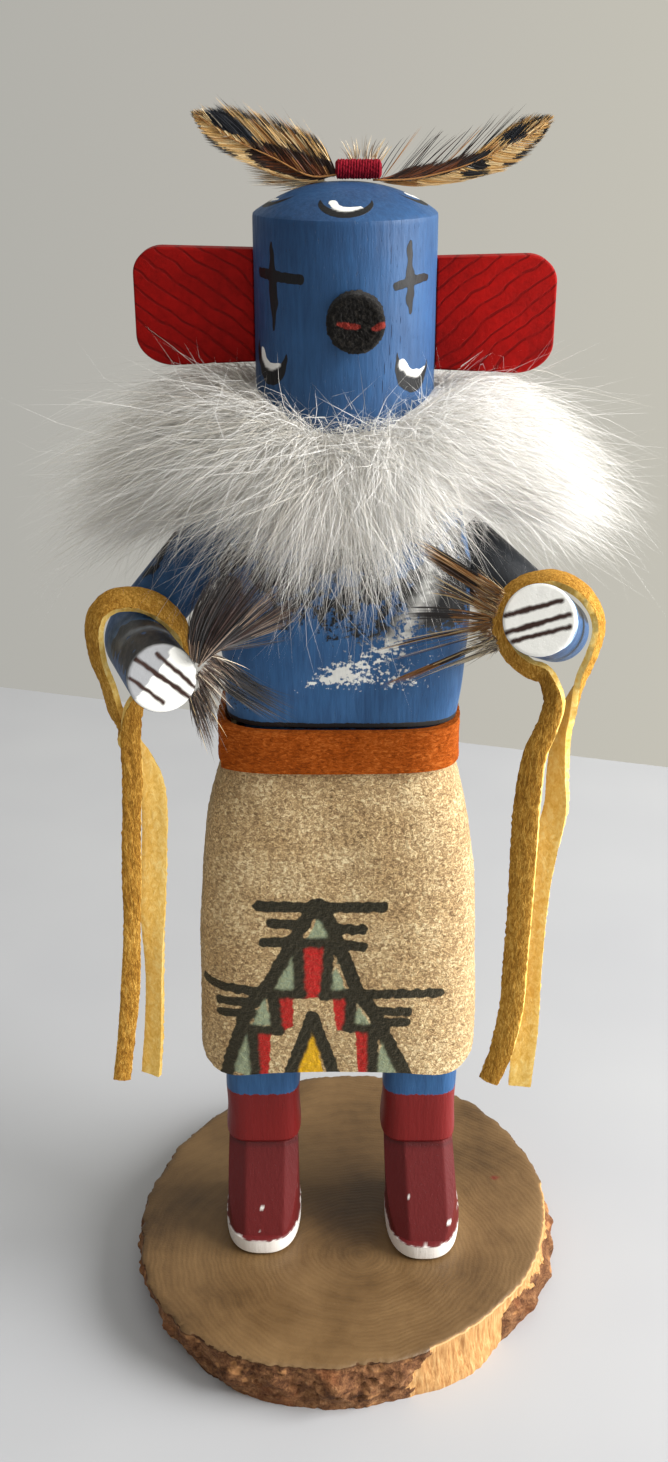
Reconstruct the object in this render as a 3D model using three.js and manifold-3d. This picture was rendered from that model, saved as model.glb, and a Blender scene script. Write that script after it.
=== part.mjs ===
// Kachina doll: a carved and painted wooden dancer on a slice of branch, with a
// suede kilt and belt, a rabbit-fur ruff, suede laces over the wrists and feathers.
//
// Millimetres, +Z up, the doll faces -Y and +X is on its left hand. The origin is on
// the table, under the middle of the branch slice. The figure's own heights are
// counted from its soles.
import * as THREE from 'three';
import { mergeVertices } from 'three/addons/utils/BufferGeometryUtils.js';
import Module from 'manifold-3d';

const wasm = await Module();
wasm.setup();

// ---------------------------------------------------------------- dimensions
const GAP = 0.3; // clearance between pieces that touch

const BASE = { radius: 37.5, thickness: 9 };

// The carved block: heights, half widths, half depths. It is a little off the base's
// middle, and its sections are rectangles with round corners.
const BODY_X = -0.45;
const BODY_PROFILE = [
  { z: 56, w: 20.3, d: 7.4 },
  { z: 63, w: 20.1, d: 9.4 },
  { z: 80, w: 19.2, d: 9.9 },
  { z: 91.5, w: 15.5, d: 9.1 },
  { z: 101.6, w: 15.2, d: 9.0 },
  { z: 102.3, w: 17.7, d: 10.8 },
  { z: 110, w: 18.4, d: 11.0 },
  { z: 119, w: 19.0, d: 11.0 },
  { z: 127, w: 18.9, d: 10.9 },
  { z: 134, w: 17.2, d: 10.5 },
  { z: 140.5, w: 13.2, d: 9.6 },
  { z: 146.7, w: 9.6, d: 8.6 },
];
const BODY_SQUARENESS = 4.5;

// Legs and moccasins: the middle of each leg at the knee and of each sole.
const LEG = { half: 6.4, back: 6.5, front: -6.0, top: 60, fold: 19.2, squareness: 3.4 };
const LEGS = [
  { knee: -14.45, sole: -14.7, toe: -13.3 },
  { knee: 13.15, sole: 14.2, toe: -14.7 },
];
const FOOT = { half: 6.75, sole: 3.0, top: 18.9 };

const HEAD = { x: -0.3, radius: 12.7, bottom: 147, rim: 174.7, crown: 178.7 };
const EAR = { length: 16.6, height: 16, thickness: 3.2, corner: 3.6 };
const SNOUT = { x: 1.0, z: 162.4, radius: 3.8, front: -17.0 };

// Arms are 9.5 mm dowel. Shoulder points lie inside the body, which cuts the arm off.
const DOWEL_RADIUS = 4.75;
const ELBOW_ROUNDING = 6;
const ARM_LEFT = { shoulder: [-17.3, 0.5, 132.2], elbow: [-32.8, -1.5, 113.6], hand: [-24.95, -29.1, 117.9] };
const ARM_RIGHT = { shoulder: [16.5, 0.5, 128.3], elbow: [31.8, -6.0, 116.0], hand: [24.4, -35.0, 128.5] };

// Kilt: a suede wrap. Its sections are given at the hem, the widest place and the top.
const KILT = { x: -1.2, thickness: 1.0, hem: 39.6, squareness: 4.2 };
const KILT_PROFILE = [
  { z: 39.6, w: 23.2, d: 12.9 },
  { z: 50, w: 23.1, d: 13.0 },
  { z: 63, w: 22.7, d: 12.8 },
  { z: 75, w: 22.0, d: 12.5 },
  { z: 83, w: 21.0, d: 12.0 },
  { z: 89, w: 19.5, d: 11.3 },
  { z: 94.2, w: 17.5, d: 10.7 },
  { z: 97, w: 17.3, d: 10.6 },
];
const BELT = { thickness: 1.1, bottom: 95.2, top: 102, overlap: 0.7 };

// Fur ruff: how far it reaches at the sides, in front and behind, and its heights.
const RUFF = { left: 38, right: 36, front: 16.4, back: 18, inner: 8.5, locks: 12 };

const LACE_DIAMETER = 2.4; // round stand-in for a lace 3.4 wide and 1.2 thick
const FEATHER_THICKNESS = 0.8;

// ---------------------------------------------------------------- materials
const paint = (color, roughness = 0.55) =>
  new THREE.MeshStandardMaterial({ color, roughness, metalness: 0 });
const BLUE_PAINT = paint(0x376ea8);
const RED_PAINT = paint(0xb01c1c);
const BLACK_FELT = paint(0x2c2826, 0.9);
const BARE_WOOD = paint(0x8a6a42, 0.75);
const KILT_SUEDE = paint(0xc9aa7d, 0.95);
const BELT_SUEDE = paint(0xb4551a, 0.95);
const LACE_SUEDE = paint(0xd2a03c, 0.9);
const RABBIT_FUR = paint(0xebe8e1, 1.0);
const RED_YARN = paint(0x8c1c28, 0.95);
const BROWN_FEATHER = paint(0x8a5a2c, 0.7);
const DARK_FEATHER = paint(0x3a2c28, 0.7);
const DOWN_FEATHER = paint(0x9a8674, 0.9);

// ---------------------------------------------------------------- helpers
const vector = (point) => new THREE.Vector3(...point);
const signedPower = (value, power) => Math.sign(value) * Math.abs(value) ** power;

// Keeps only the positions, joins equal vertices and turns the faces outwards.
function closed(geometry) {
  for (const name of ['normal', 'uv']) geometry.deleteAttribute(name);
  const merged = mergeVertices(geometry, 1e-4);
  const position = merged.attributes.position;
  const index = [];
  for (let i = 0; i < merged.index.count; i += 3) {
    const [a, b, c] = [0, 1, 2].map((k) => merged.index.getX(i + k));
    if (a !== b && b !== c && c !== a) index.push(a, b, c);
  }
  const corner = (k) => new THREE.Vector3().fromBufferAttribute(position, index[k]);
  let volume = 0;
  for (let i = 0; i < index.length; i += 3) {
    volume += corner(i).dot(corner(i + 1).cross(corner(i + 2)));
  }
  merged.setIndex(volume < 0 ? index.reverse() : index);
  merged.computeVertexNormals();
  return merged;
}

// Moves every vertex of a geometry to where place(vertex) says.
function warp(geometry, place) {
  const position = geometry.attributes.position;
  const vertex = new THREE.Vector3();
  for (let i = 0; i < position.count; i += 1) {
    const moved = place(vertex.fromBufferAttribute(position, i));
    position.setXYZ(i, moved.x, moved.y, moved.z);
  }
  return closed(geometry);
}

// A solid column: place(angle, t, reach) puts each vertex, with t from 0 to 1 along
// the column and reach 0 on its axis and 1 on its side.
function column(sides, rings, place) {
  const cylinder = new THREE.CylinderGeometry(1, 1, 1, sides, rings).rotateX(Math.PI / 2);
  return warp(cylinder, (v) => {
    const reach = Math.hypot(v.x, v.y);
    return place(Math.atan2(v.y, v.x), v.z + 0.5, reach);
  });
}

// A shell open at both ends: layer is 0 inside and 1 outside, t runs from 0 to 1.
function shell(sides, rings, place) {
  const profile = [];
  for (let i = 0; i <= rings; i += 1) profile.push(new THREE.Vector2(2, i / rings));
  for (let i = rings; i >= 0; i -= 1) profile.push(new THREE.Vector2(1, i / rings));
  profile.push(new THREE.Vector2(2, 0));
  const lathe = new THREE.LatheGeometry(profile, sides).rotateX(Math.PI / 2);
  return warp(lathe, (v) => place(Math.atan2(v.y, v.x), Math.hypot(v.x, v.y) - 1, v.z));
}

function solidOf(geometry) {
  const { position } = geometry.attributes;
  return new wasm.Manifold(new wasm.Mesh({
    numProp: 3,
    vertProperties: new Float32Array(position.array),
    triVerts: new Uint32Array(geometry.index.array),
  }));
}

function geometryOf(solid) {
  const mesh = solid.getMesh();
  const geometry = new THREE.BufferGeometry();
  geometry.setAttribute('position', new THREE.BufferAttribute(mesh.vertProperties, 3));
  geometry.setIndex(new THREE.BufferAttribute(mesh.triVerts, 1));
  return closed(geometry);
}

const joined = (...geometries) =>
  geometryOf(geometries.map(solidOf).reduce((whole, piece) => whole.add(piece)));

const without = (geometry, ...cutters) =>
  geometryOf(cutters.map(solidOf).reduce((whole, cutter) => whole.subtract(cutter), solidOf(geometry)));

// A point on a rectangle with round corners, seen from above.
function roundedSection(angle, halfWidth, halfDepth, squareness) {
  return [
    halfWidth * signedPower(Math.cos(angle), 2 / squareness),
    halfDepth * signedPower(Math.sin(angle), 2 / squareness),
  ];
}

// ---------------------------------------------------------------- base
// The branch wasn't quite round, and its bark stands out in lumps around the edge.
const BARK_LUMPS = [
  { angle: -2.28, width: 0.45, size: 1.6 },
  { angle: -1.95, width: 0.16, size: 0.9 },
  { angle: -1.45, width: 0.2, size: 1.0 },
  { angle: -0.95, width: 0.22, size: 0.8 },
  { angle: -0.42, width: 0.14, size: 1.2 },
  { angle: 0.05, width: 0.3, size: 1.1 },
  { angle: 1.1, width: 0.35, size: 1.2 },
  { angle: 2.2, width: 0.3, size: 0.8 },
];

function baseRadius(angle, depth) {
  const outline = 0.6 * Math.cos(2 * (angle - 0.77)) + 0.8 * Math.cos(angle + 1.1);
  const belly = Math.sin(Math.PI * Math.min(1, depth * 1.1 + 0.15));
  let lumps = 0;
  for (const lump of BARK_LUMPS) {
    const away = Math.atan2(Math.sin(angle - lump.angle), Math.cos(angle - lump.angle));
    lumps += lump.size * Math.exp(-((away / lump.width) ** 2)) * (0.35 + 0.65 * belly);
  }
  const ridges = 0.3 * Math.sin(17 * angle + 2 * depth) + 0.25 * Math.sin(29 * angle - 3 * depth);
  return BASE.radius + outline + lumps * 0.9 + ridges * belly - 0.5 * depth ** 3;
}

function base() {
  return column(72, 3, (angle, t, reach) => {
    const radius = reach * baseRadius(angle, 1 - t);
    return new THREE.Vector3(radius * Math.cos(angle), radius * Math.sin(angle), t * BASE.thickness);
  });
}

// ---------------------------------------------------------------- body
// Hips and torso in one, with room for the kilt and belt cut in at the waist.
function trunk(swell = 0) {
  const rings = BODY_PROFILE.length - 1;
  return column(24, rings, (angle, t, reach) => {
    const row = BODY_PROFILE[Math.round(t * rings)];
    const [x, y] = roundedSection(angle, row.w + swell, row.d + swell, BODY_SQUARENESS);
    const lift = t > 0.99 ? swell : 0;
    return new THREE.Vector3(BODY_X + reach * x, reach * y, row.z + lift);
  });
}

// The leg from the boot's fold up into the hips. The fold overhangs the foot.
function shaft(leg) {
  const rows = [
    { z: LEG.fold - 0.3, grow: -0.5 },
    { z: LEG.fold + 1.0, grow: 0.15 },
    { z: LEG.fold + 6, grow: 0 },
    { z: LEG.top, grow: 0 },
  ];
  const middle = (LEG.front + LEG.back) / 2;
  const depth = (LEG.back - LEG.front) / 2;
  return column(16, rows.length - 1, (angle, t, reach) => {
    const { z, grow } = rows[Math.round(t * (rows.length - 1))];
    const [x, y] = roundedSection(angle, LEG.half + grow, depth + grow, LEG.squareness);
    return new THREE.Vector3(leg.knee + reach * x, middle + reach * y, z);
  });
}

// The foot: a round toe on the ground that slopes back up to the fold.
function foot(leg) {
  const rows = [
    { z: 0, slope: 0, half: FOOT.half - 0.1 },
    { z: FOOT.sole, slope: 0.02, half: FOOT.half },
    { z: 7.5, slope: 0.22, half: FOOT.half },
    { z: 13.5, slope: 0.6, half: FOOT.half - 0.2 },
    { z: FOOT.top, slope: 1, half: LEG.half - 0.1 },
    { z: FOOT.top + 4, slope: 1.15, half: LEG.half - 0.8 },
  ];
  const heel = LEG.back;
  const waist = -2.5;
  return column(20, rows.length - 1, (angle, t, reach) => {
    const row = rows[Math.round(t * (rows.length - 1))];
    const share = row.z / FOOT.top;
    const middle = THREE.MathUtils.lerp(leg.sole, leg.knee, Math.min(1, share));
    const front = THREE.MathUtils.lerp(leg.toe, LEG.front + 0.5, Math.min(1, row.slope));
    const toe = Math.sin(angle) < 0;
    const [x, y] = roundedSection(angle, row.half, toe ? waist - front : heel - waist, toe ? 2.5 : LEG.squareness);
    return new THREE.Vector3(middle + reach * x, waist + reach * y, row.z);
  });
}

function body() {
  return joined(trunk(), ...LEGS.map(shaft), ...LEGS.map(foot));
}

// ---------------------------------------------------------------- head
function head(swell = 0) {
  const radius = HEAD.radius + swell;
  const rise = HEAD.crown - HEAD.rim;
  const profile = [
    [0, HEAD.bottom - swell],
    [radius - 0.4, HEAD.bottom - swell],
    [radius, HEAD.bottom + 0.4],
    [radius, HEAD.rim],
    [radius * 0.66, HEAD.rim + rise * 0.58 + swell],
    [radius * 0.38, HEAD.rim + rise * 0.86 + swell],
    [0, HEAD.crown + swell],
  ].map(([r, z]) => new THREE.Vector2(r, z));
  const lathe = new THREE.LatheGeometry(profile, 36).rotateX(Math.PI / 2);
  return closed(lathe.translate(HEAD.x, 0, 0));
}

// A board with its outer corners rounded, glued edge-on to the side of the head.
function ear(side, bottom) {
  const { length, height, thickness, corner } = EAR;
  const outer = side * (HEAD.radius + length);
  const inner = side * (HEAD.radius - 2.5);
  const shape = new THREE.Shape();
  shape.moveTo(inner, bottom + 0.5);
  shape.lineTo(outer - side * corner * 1.5, bottom);
  shape.quadraticCurveTo(outer, bottom, outer, bottom + corner);
  shape.lineTo(outer, bottom + height - corner);
  shape.quadraticCurveTo(outer, bottom + height, outer - side * corner, bottom + height);
  shape.lineTo(inner, bottom + height - 0.3);
  shape.closePath();
  const board = new THREE.ExtrudeGeometry(shape, { depth: thickness, bevelEnabled: false, curveSegments: 5 });
  board.rotateX(Math.PI / 2).translate(HEAD.x, thickness / 2, 0);
  return without(closed(board), head(GAP));
}

function snout() {
  const { x, z, radius, front } = SNOUT;
  const back = -(HEAD.radius - 1.5);
  const profile = [[0, 0], [radius, 0], [radius, back - front - 0.6], [radius - 0.6, back - front], [0, back - front]]
    .map(([r, height]) => new THREE.Vector2(r, height));
  const disc = new THREE.LatheGeometry(profile, 24).rotateX(Math.PI);
  return without(closed(disc.translate(x, back, z)), head(GAP));
}

// ---------------------------------------------------------------- arms
// A round bar through the given points, with its end faces square to it.
function bar(points, radius, sides) {
  const last = points.length - 1;
  const rings = points.map((point, i) => {
    const before = points[Math.max(i - 1, 0)];
    const after = points[Math.min(i + 1, last)];
    const along = after.clone().sub(before).normalize();
    const across = new THREE.Vector3(0, 0, 1).cross(along).normalize();
    return { point, across, up: along.clone().cross(across) };
  });
  return column(sides, last, (angle, t, reach) => {
    const { point, across, up } = rings[Math.round(t * last)];
    return point.clone()
      .addScaledVector(across, reach * radius * Math.cos(angle))
      .addScaledVector(up, reach * radius * Math.sin(angle));
  });
}

function arm({ shoulder, elbow, hand }, swell = 0) {
  const [s, e, h] = [shoulder, elbow, hand].map(vector);
  const toShoulder = s.clone().sub(e).normalize();
  const toHand = h.clone().sub(e).normalize();
  const upper = e.clone().addScaledVector(toShoulder, ELBOW_ROUNDING);
  const lower = e.clone().addScaledVector(toHand, ELBOW_ROUNDING);
  const bend = new THREE.QuadraticBezierCurve3(upper, e, lower).getPoint(0.5);
  const dowel = bar([s, upper, bend, lower, h.addScaledVector(toHand, swell)], DOWEL_RADIUS + swell, 20);
  return swell > 0 ? dowel : without(dowel, trunk(GAP));
}

// ---------------------------------------------------------------- kilt and belt
// The hem waves a little and is highest between the legs.
function hemHeight(angle) {
  const front = Math.max(0, -Math.sin(angle));
  return KILT.hem + 1.2 * front * Math.cos(4 * (angle + Math.PI / 2)) + 0.8 * Math.cos(2 * angle);
}

function kilt() {
  const rings = KILT_PROFILE.length - 1;
  return shell(40, rings, (angle, layer, t) => {
    const row = KILT_PROFILE[Math.round(t * rings)];
    const z = t < 0.01 ? hemHeight(angle) : row.z;
    const inset = layer > 0.5 ? 0 : KILT.thickness;
    const [x, y] = roundedSection(angle, row.w - inset, row.d - inset, KILT.squareness);
    return new THREE.Vector3(KILT.x + x, y, z);
  });
}

// The belt's end laps over its start on the doll's right side.
function belt() {
  const under = KILT_PROFILE.at(-1);
  return shell(40, 1, (angle, layer, t) => {
    const lap = angle > -3.0 && angle < -2.6 ? BELT.overlap : 0;
    const out = GAP + (layer > 0.5 ? BELT.thickness + lap : 0);
    const [x, y] = roundedSection(angle, under.w + out, under.d + out, KILT.squareness);
    return new THREE.Vector3(KILT.x + x, y, THREE.MathUtils.lerp(BELT.bottom, BELT.top, t));
  });
}

// ---------------------------------------------------------------- fur ruff
// A strip of long fur wound round the neck. It stands out over the shoulders and
// hangs down the chest to a point, in locks.
function ruff() {
  const torus = new THREE.TorusGeometry(2, 1, 10, 4 * RUFF.locks);
  const wound = warp(torus, (v) => {
    const angle = Math.atan2(v.y, v.x);
    const [ring, rise] = [Math.hypot(v.x, v.y) - 2, v.z];
    const side = Math.abs(Math.cos(angle));
    const front = Math.max(0, -Math.sin(angle));
    const wide = Math.cos(angle) < 0 ? RUFF.left : RUFF.right;
    const deep = Math.sin(angle) < 0 ? RUFF.front : RUFF.back;
    const lock = Math.cos(RUFF.locks * angle);
    const outer = ((side / wide) ** 2.2 + (Math.abs(Math.sin(angle)) / deep) ** 2.2) ** (-1 / 2.2);
    const reach = outer * (1 + 0.05 * lock);
    const top = 149 + 3.6 * side;
    const bottom = 124 - 12 * front ** 3 + 1.5 * lock;
    const middle = (RUFF.inner + reach) / 2;
    const radius = middle + ((reach - RUFF.inner) / 2) * ring;
    const droop = 5 * side ** 2 * ((radius - RUFF.inner) / (wide - RUFF.inner)) ** 2;
    const z = (top + bottom) / 2 + ((top - bottom) / 2) * rise - droop * (rise > 0 ? 1 : 0.1);
    return new THREE.Vector3(radius * Math.cos(angle), radius * Math.sin(angle), z);
  });
  return without(wound, head(GAP), trunk(GAP), arm(ARM_LEFT, GAP), arm(ARM_RIGHT, GAP));
}

// ---------------------------------------------------------------- laces
// Each lace lies over a forearm and hangs down in two tails.
const LACE_LEFT = [
  [-37.4, -12.6, 38.5], [-36.3, -12.6, 46.0], [-34.9, -12.6, 57.0], [-33.9, -12.6, 70.0],
  [-33.2, -12.6, 84.0], [-32.4, -12.7, 94.7], [-32.3, -12.9, 99.5], [-32.1, -13.0, 102.7],
  [-31.5, -12.9, 106.1], [-30.1, -12.0, 108.4], [-27.3, -10.9, 109.1], [-24.8, -9.7, 111.4],
  [-23.8, -9.2, 114.5], [-24.3, -8.9, 117.2], [-26.5, -9.1, 120.2], [-28.9, -9.7, 122.0],
  [-31.4, -10.6, 122.8], [-33.9, -11.5, 122.7], [-35.8, -12.2, 121.3], [-36.6, -12.7, 119.0],
  [-36.6, -12.9, 116.3], [-36.2, -12.7, 113.3], [-35.3, -12.2, 110.1], [-34.8, -11.5, 106.8],
  [-34.2, -10.7, 103.5], [-33.0, -10.0, 99.8], [-31.1, -9.8, 96.3], [-29.9, -9.8, 92.4],
  [-29.7, -9.8, 87.0], [-30.2, -9.8, 79.0], [-30.9, -9.8, 70.0], [-31.2, -9.8, 57.0],
  [-31.9, -9.8, 46.0], [-32.8, -9.8, 37.5],
];
const LACE_RIGHT = [
  [22.4, -25.8, 48.5], [24.0, -25.8, 54.0], [25.2, -25.8, 62.0], [25.4, -25.8, 71.0],
  [25.6, -25.8, 80.7], [25.6, -25.8, 90.0], [25.7, -25.8, 98.0], [26.3, -25.8, 104.7],
  [27.3, -25.8, 107.8], [28.2, -25.7, 110.6], [28.6, -25.2, 112.8], [28.2, -24.3, 114.5],
  [27.2, -23.1, 116.1], [25.1, -22.3, 116.7], [22.3, -21.2, 119.2], [21.4, -20.2, 123.1],
  [22.8, -19.6, 126.5], [25.3, -19.4, 128.4], [28.6, -19.9, 129.1], [31.7, -21.3, 128.0],
  [33.7, -22.7, 125.8], [34.4, -23.6, 123.0], [33.7, -23.9, 119.5], [32.7, -23.8, 116.5],
  [31.9, -23.5, 113.4], [31.2, -23.2, 110.5], [30.5, -23.0, 106.9], [30.3, -23.0, 101.0],
  [30.4, -23.0, 95.5], [29.4, -23.0, 89.7], [28.6, -23.0, 83.7], [28.2, -23.0, 77.0],
  [28.2, -23.0, 66.0], [28.0, -23.0, 55.0], [27.7, -23.0, 45.5],
];

function lace(points) {
  const route = new THREE.CatmullRomCurve3(points.map(vector), false, 'centripetal');
  const section = new THREE.Shape();
  section.absarc(0, 0, LACE_DIAMETER / 2, 0, 2 * Math.PI);
  const options = { steps: 60, extrudePath: route, bevelEnabled: false, curveSegments: 4 };
  return closed(new THREE.ExtrudeGeometry(section, options));
}

// ---------------------------------------------------------------- feathers
// A feather's vane: a thin leaf along a quill. Its widths are given at the root, the
// middle, near the end and at the tip, and broad says which way its width points.
function feather({ quill, widths, broad }) {
  const curve = new THREE.CatmullRomCurve3(quill.map(vector));
  const steps = 8;
  const width = new THREE.SplineCurve(widths.map((w, i) => new THREE.Vector2(i, w)));
  return column(8, steps, (angle, t, reach) => {
    const along = curve.getTangent(t);
    const across = vector(broad);
    across.addScaledVector(along, -across.dot(along)).normalize();
    const normal = along.clone().cross(across);
    return curve.getPoint(t)
      .addScaledVector(across, reach * Math.cos(angle) * (width.getPoint(t).y / 2))
      .addScaledVector(normal, reach * Math.sin(angle) * (FEATHER_THICKNESS / 2));
  });
}

const FEATHERS = {
  crest_feather_left: {
    quill: [[-2.4, -0.4, 180.2], [-8.0, -0.4, 182.3], [-14.5, -0.2, 184.6], [-20.8, 0, 187.7]],
    widths: [1.6, 5.4, 7.0, 1.6],
    broad: [0.4, -0.45, 0.8],
  },
  crest_feather_left_under: {
    quill: [[-2.4, 1.0, 179.8], [-7.5, 1.6, 179.6], [-13.2, 2.2, 179.4]],
    widths: [1.2, 3.4, 1.4],
    broad: [0.1, -0.6, 0.8],
  },
  crest_feather_right: {
    quill: [[5.2, -0.4, 179.9], [11.0, -0.4, 180.9], [19.0, -0.2, 183.2], [26.8, 0, 186.8]],
    widths: [1.6, 4.2, 6.4, 1.6],
    broad: [-0.3, -0.45, 0.8],
  },
  hand_feather_left: {
    quill: [[-19.7, -29.0, 119.6], [-14.5, -23.5, 123.6], [-8.0, -18.4, 129.0]],
    widths: [1.6, 8.0, 2.4],
    broad: [-0.7, 0, 0.7],
  },
  hand_down_left: {
    quill: [[-19.6, -28.6, 117.6], [-18.6, -24.0, 111.5], [-17.8, -19.5, 103.5]],
    widths: [1.6, 5.5, 2.0],
    broad: [1, 0, 0.2],
  },
  hand_feather_right: {
    quill: [[18.9, -34.6, 128.0], [13.0, -26.5, 126.0], [6.5, -19.0, 123.5]],
    widths: [1.8, 8.0, 15.0],
    broad: [0.1, 0.2, 1],
  },
};

// The yarn that binds the crest feathers' roots on top of the head.
function crestKnot() {
  const wraps = 5;
  return column(8, 2 * wraps, (angle, t, reach) => {
    const end = t < 0.01 || t > 0.99 ? 0.75 : 1;
    const radius = reach * end * (1.15 + 0.12 * Math.cos(2 * Math.PI * wraps * t));
    const x = THREE.MathUtils.lerp(-1.7, 4.6, t);
    return new THREE.Vector3(x, radius * 1.1 * Math.cos(angle), HEAD.crown + 1.55 + radius * Math.sin(angle));
  });
}

// Short pale barbs that stand up behind the knot.
function crestTuft() {
  const barbs = 5;
  return column(4 * barbs, 2, (angle, t, reach) => {
    const spike = 0.5 + 0.5 * Math.cos(barbs * angle);
    const radius = reach * (1.0 + 1.4 * t * spike);
    return new THREE.Vector3(1.4 + 1.6 * radius * Math.cos(angle), 3.1 + 0.5 * radius * Math.sin(angle),
      HEAD.crown + 0.45 + 4.7 * t * (t > 0.6 ? 0.75 + 0.25 * spike : 1));
  });
}

// ---------------------------------------------------------------- the doll
const doll = new THREE.Group();
const figure = new THREE.Group();
figure.position.z = BASE.thickness + GAP;
doll.add(figure);

function add(group, name, geometry, material) {
  const mesh = new THREE.Mesh(geometry, material);
  mesh.name = name;
  group.add(mesh);
}

add(doll, 'base', base(), BARE_WOOD);
add(figure, 'body', body(), BLUE_PAINT);
add(figure, 'head', head(), BLUE_PAINT);
add(figure, 'ear_left', ear(-1, 154.4), RED_PAINT);
add(figure, 'ear_right', ear(1, 153.3), RED_PAINT);
add(figure, 'snout', snout(), BLACK_FELT);
add(figure, 'arm_left', arm(ARM_LEFT), BLUE_PAINT);
add(figure, 'arm_right', arm(ARM_RIGHT), BLUE_PAINT);
add(figure, 'kilt', kilt(), KILT_SUEDE);
add(figure, 'belt', belt(), BELT_SUEDE);
add(figure, 'fur_ruff', ruff(), RABBIT_FUR);
add(figure, 'lace_left', lace(LACE_LEFT), LACE_SUEDE);
add(figure, 'lace_right', lace(LACE_RIGHT), LACE_SUEDE);
add(figure, 'crest_knot', crestKnot(), RED_YARN);
add(figure, 'crest_tuft', crestTuft(), DOWN_FEATHER);

const FEATHER_FINISH = {
  crest_feather_left_under: DOWN_FEATHER,
  hand_feather_left: DARK_FEATHER,
  hand_down_left: DOWN_FEATHER,
};
for (const [name, shape] of Object.entries(FEATHERS)) {
  add(figure, name, feather(shape), FEATHER_FINISH[name] ?? BROWN_FEATHER);
}

export default doll;
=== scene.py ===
"""Kachina doll: a carved and painted wooden figure on a slice of branch, dressed in a
suede kilt and belt, with a rabbit-fur ruff, laces over the wrists and feathers.

Sizes are in millimetres and become metres where a mesh is made. The figure's own
heights are counted from its soles, LIFT above the table.
"""
import math
import bpy
import bmesh
import numpy as np
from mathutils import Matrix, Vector


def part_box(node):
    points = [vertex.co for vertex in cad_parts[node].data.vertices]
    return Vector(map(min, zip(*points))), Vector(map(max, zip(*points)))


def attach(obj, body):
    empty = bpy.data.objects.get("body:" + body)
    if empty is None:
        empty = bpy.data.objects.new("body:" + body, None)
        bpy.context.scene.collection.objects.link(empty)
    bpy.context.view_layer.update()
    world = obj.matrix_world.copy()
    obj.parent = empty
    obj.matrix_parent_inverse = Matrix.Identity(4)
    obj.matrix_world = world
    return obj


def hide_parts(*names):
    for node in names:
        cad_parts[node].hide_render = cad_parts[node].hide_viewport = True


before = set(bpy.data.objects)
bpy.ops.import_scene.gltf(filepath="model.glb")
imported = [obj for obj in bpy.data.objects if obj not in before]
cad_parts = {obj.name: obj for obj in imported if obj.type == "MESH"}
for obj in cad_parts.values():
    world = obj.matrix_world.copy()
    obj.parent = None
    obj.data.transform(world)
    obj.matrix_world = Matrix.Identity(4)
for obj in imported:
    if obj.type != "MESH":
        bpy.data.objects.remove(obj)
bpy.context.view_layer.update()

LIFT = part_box("body")[0][2] * 1000  # the soles' height above the table
FRONT = -math.pi / 2  # the angle that faces the viewer


# ------------------------------------------------------------------ camera, light
# In metres. The camera was fitted to the photograph's view of the doll.
LENS, SENSOR = 35.68, 36  # mm
CAMERA_PLACE, CAMERA_TILT = (-0.00185, -0.20923, 0.20227), 65.32
CHEST = (0, 0, 0.11)  # where the lights point
LIGHTS = {  # place, size, power, colour
    "window": ((0.62, -0.12, 0.38), 0.5, 10.8, (1.0, 0.985, 0.96)),
    "ceiling": ((0.0, -0.30, 0.80), 0.6, 0.9, (0.97, 0.98, 1.0)),
}


def linked(name, data):
    obj = bpy.data.objects.new(name, data)
    bpy.context.collection.objects.link(obj)
    return obj


def camera():
    data = bpy.data.cameras.new("camera")
    data.lens, data.sensor_width, data.clip_start = LENS, SENSOR, 0.01
    obj = linked("camera", data)
    obj.location = CAMERA_PLACE
    obj.rotation_euler = (math.radians(CAMERA_TILT), 0, 0)
    bpy.context.scene.camera = obj


def area_light(name, place, size, power, colour):
    data = bpy.data.lights.new(name, "AREA")
    data.shape, data.size = "SQUARE", size
    data.energy, data.color = power, colour
    obj = linked(name, data)
    obj.location = place
    towards = Vector(CHEST) - Vector(place)
    obj.rotation_euler = towards.to_track_quat("-Z", "Y").to_euler()


camera()
bpy.context.scene.view_settings.view_transform = "Standard"
for name, settings in LIGHTS.items():
    area_light(name, *settings)


# ------------------------------------------------------------------ cord routes
# Each lace lies over a forearm and hangs down in two tails. These are the routes that
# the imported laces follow.
LACE_LEFT = [
    [-37.4, -12.6, 38.5], [-36.3, -12.6, 46], [-34.9, -12.6, 57], [-33.9, -12.6, 70],
    [-33.2, -12.6, 84], [-32.4, -12.7, 94.7], [-32.3, -12.9, 99.5], [-32.1, -13, 102.7],
    [-31.5, -12.9, 106.1], [-30.1, -12, 108.4], [-27.3, -10.9, 109.1], [-24.8, -9.7, 111.4],
    [-23.8, -9.2, 114.5], [-24.3, -8.9, 117.2], [-26.5, -9.1, 120.2], [-28.9, -9.7, 122],
    [-31.4, -10.6, 122.8], [-33.9, -11.5, 122.7], [-35.8, -12.2, 121.3], [-36.6, -12.7, 119],
    [-36.6, -12.9, 116.3], [-36.2, -12.7, 113.3], [-35.3, -12.2, 110.1], [-34.8, -11.5, 106.8],
    [-34.2, -10.7, 103.5], [-33, -10, 99.8], [-31.1, -9.8, 96.3], [-29.9, -9.8, 92.4],
    [-29.7, -9.8, 87], [-30.2, -9.8, 79], [-30.9, -9.8, 70], [-31.2, -9.8, 57],
    [-31.9, -9.8, 46], [-32.8, -9.8, 37.5],
]
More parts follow.
